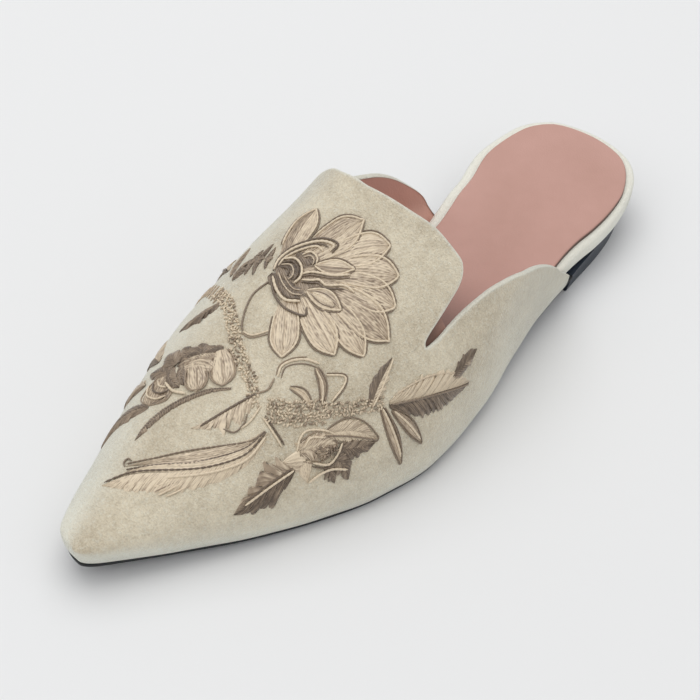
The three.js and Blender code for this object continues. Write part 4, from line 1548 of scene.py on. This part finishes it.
    def build_heel(self, finish: bpy.types.Material) -> None:
        """Builds the heel block."""
        spread = self.heel_inset_breast - self.heel_inset_back
        edge = lambda at, side: self.heel_inset_back + spread * (at / self.breast_at)
        foot = lambda at, side: edge(at, side) + self.heel_taper
        bevel = self.heel_bevel
        rings = [(lambda at, side: foot(at, side) + bevel, lambda at: 0 * at),
                 (foot, lambda at: 0 * at + bevel)]
        rings += [(lambda at, side, k=share: edge(at, side) + self.heel_taper * (1 - k),
                   lambda at, k=share: bevel + (self.seam(at) - bevel) * k)
                  for share in (0.25, 0.5, 0.75, 1.0)]
        skin = self.layer(0.0, self.breast_at, rings, 90)
        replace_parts(skin.piece("heel_block", finish, "heel", crisp=40), "heel")

    def build_footbed(self, finish: bpy.types.Material) -> None:
        """Builds the velvet footbed with its rounded rim."""
        lower = lambda at: np.minimum(self.foot_radius, self.lower_share * self.board(at))
        upper = lambda at: np.minimum(self.top_radius, self.upper_share * self.board(at))
        lean = (90, 70, 50, 30, 15, 0)
        rings = self.rounded(self.footbed_inset, self.last.feather, lower, lean, 1)
        rings += self.rounded(self.footbed_inset, self.footbed_top, upper, lean[::-1], -1)
        # Painted sheen: every ring takes the full edge value, so the whole footbed shows the
        # velvet's pale sheen colour.
        skin = self.layer(0.0, self.footbed_toe, rings, paint=[1.0] * len(rings))
        footbed = skin.piece("footbed_velvet", finish, "footbed_velvet", "edge", crisp=50)
        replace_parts(footbed, "footbed")

    def build_insole(self, finish: bpy.types.Material) -> None:
        """Builds the leather insole with its skived edge."""
        seat = lambda at: self.footbed_top(at) + self.insole_seat
        full = self.insole_thickness + self.seam_gap - self.insole_seat
        edge = lambda at, side: self.footbed_inset(at, side) + self.insole_margin[side](at)
        rings = [(edge, seat)]
        rings += self.rounded(edge, lambda at: seat(at) + full, lambda at: self.insole_radius,
                              (0, 25, 50, 70, 90), -1)
        # Its walls are painted with the dark cut edge, and its caps with painted shade under the
        # vamp.
        skin = self.layer(0.0, self.footbed_toe - self.insole_short, rings,
                          paint=self.insole_paint, shade=self.insole_shade)
        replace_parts(skin.piece("insole_sock", finish, "insole_leather", crisp=60), "insole")


# Studio

@dataclass
class Studio:
    """The pale floor, soft lights and the camera at the photograph's angle."""

    frame_px: float = 700.0
    photo_focal_px: float = 985.1
    photo_pitch: float = 38.60
    photo_heading: float = 134.305
    photo_aim_px: Pair = (440.0, 446.0)
    closer: float = 1.66
    camera_mm: Triple = (221.1, -307.3, 367.0)
    sensor_mm: float = 36.0
    clip_m: Pair = (0.01, 50.0)
    floor_reach: float = 6.0
    floor_colour: Colour = (0.82, 0.82, 0.82)
    sky_colour: Colour = (0.98, 0.99, 1.0)
    sky_strength: float = 0.62
    light_aim: Triple = (0.0, 0.0, 0.02)
    lights: tuple = (
        ("overhead_softbox", (-0.42, 0.3, 1.5), 1.6, 10.8),
        ("front_softbox", (-0.3, -1.2, 1.2), 1.2, 3.6),
        ("side_softbox", (1.2, 0.2, 1.1), 1.4, 1.3),
    )

    def build_camera(self) -> None:
        """Sets the camera where the photograph's stood, turned to the one shoe."""
        pitch, heading = math.radians(self.photo_pitch), math.radians(self.photo_heading)
        level = math.cos(pitch)
        ahead = Vector((math.cos(heading) * level, math.sin(heading) * level, -math.sin(pitch)))
        right = ahead.cross(Vector((0, 0, 1))).normalized()
        up = right.cross(ahead)
        over, down = (value - 0.5 * self.frame_px for value in self.photo_aim_px)
        aim = ahead * self.photo_focal_px + right * over - up * down
        turn = ahead.rotation_difference(aim.normalized()).to_matrix()
        axes = Matrix((turn @ right, turn @ up, -(turn @ ahead))).transposed()
        lens = bpy.data.cameras.new("camera")
        lens.sensor_width = self.sensor_mm
        lens.lens = self.closer * self.photo_focal_px / self.frame_px * self.sensor_mm
        lens.clip_start, lens.clip_end = self.clip_m
        camera = add_object("camera", lens)
        camera.matrix_world = Matrix.Translation(Vector(self.camera_mm) * MM) @ axes.to_4x4()
        bpy.context.scene.camera = camera

    def add_light(self, name: str, place: Triple, size: float, power: float) -> None:
        """Adds a soft square light that faces the shoe.

        Args:
            name: Its name.
            place: Where it hangs, in metres.
            size: Its side, in metres.
            power: Its power, in watts.
        """
        lamp = bpy.data.lights.new(name, "AREA")
        lamp.size, lamp.energy = size, power
        light = add_object(name, lamp)
        light.location = place
        aim = Vector(self.light_aim) - Vector(place)
        light.rotation_euler = aim.to_track_quat("-Z", "Y").to_euler()

    def build(self) -> None:
        """Builds the floor, the lights and the camera."""
        far = self.floor_reach
        corners = [(-far, -far, 0), (far, -far, 0), (far, far, 0), (-far, far, 0)]
        floor = add_mesh("floor", corners, [(0, 1, 2, 3)])
        floor.data.materials.append(Paint("floor_paper", self.floor_colour).material())
        world = bpy.data.worlds.new("studio")
        world.use_nodes = True
        sky = world.node_tree.nodes["Background"].inputs
        sky[0].default_value, sky[1].default_value = (*self.sky_colour, 1.0), self.sky_strength
        bpy.context.scene.world = world
        bpy.context.scene.view_settings.view_transform = "Standard"
        for light in self.lights:
            self.add_light(*light)
        self.build_camera()


def main() -> None:
    """Builds the mule and its studio in order."""
    logging.basicConfig(level=logging.INFO, format="%(message)s")
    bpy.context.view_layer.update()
    last = Last()
    chart = Chart(last)
    insole = Leather("insole_leather", (0.56, 0.322, 0.27), (0.50, 0.282, 0.23))
    # The lining is the insole's pink leather painted lighter, to make up for the shade inside the
    # shoe.
    lining = Leather("lining_leather", (0.75, 0.435, 0.36), (0.70, 0.40, 0.325), 0.6)
    navy = Leather("heel_leather", (0.009, 0.018, 0.036), (0.006, 0.012, 0.026), 0.42, 1100.0)
    black = Leather("outsole_rubber", (0.013, 0.014, 0.016), (0.009, 0.010, 0.011), 0.55, 900.0)
    Upper(last, chart).build(Velvet().material(), lining.material())
    ThreadWork(chart).build(Thread().material())
    bottom = Bottom(last)
    bottom.build_outsole(black.material())
    bottom.build_heel(navy.material())
    # The footbed's velvet is a copy with a paler painted sheen colour.
    bottom.build_footbed(Velvet("footbed_pile_painted_sheen", painted_sheen_colour=(0.93, 0.91, 0.81)).material())
    bottom.build_insole(insole.material())
    Studio().build()
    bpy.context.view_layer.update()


if __name__ == "__main__":
    main()
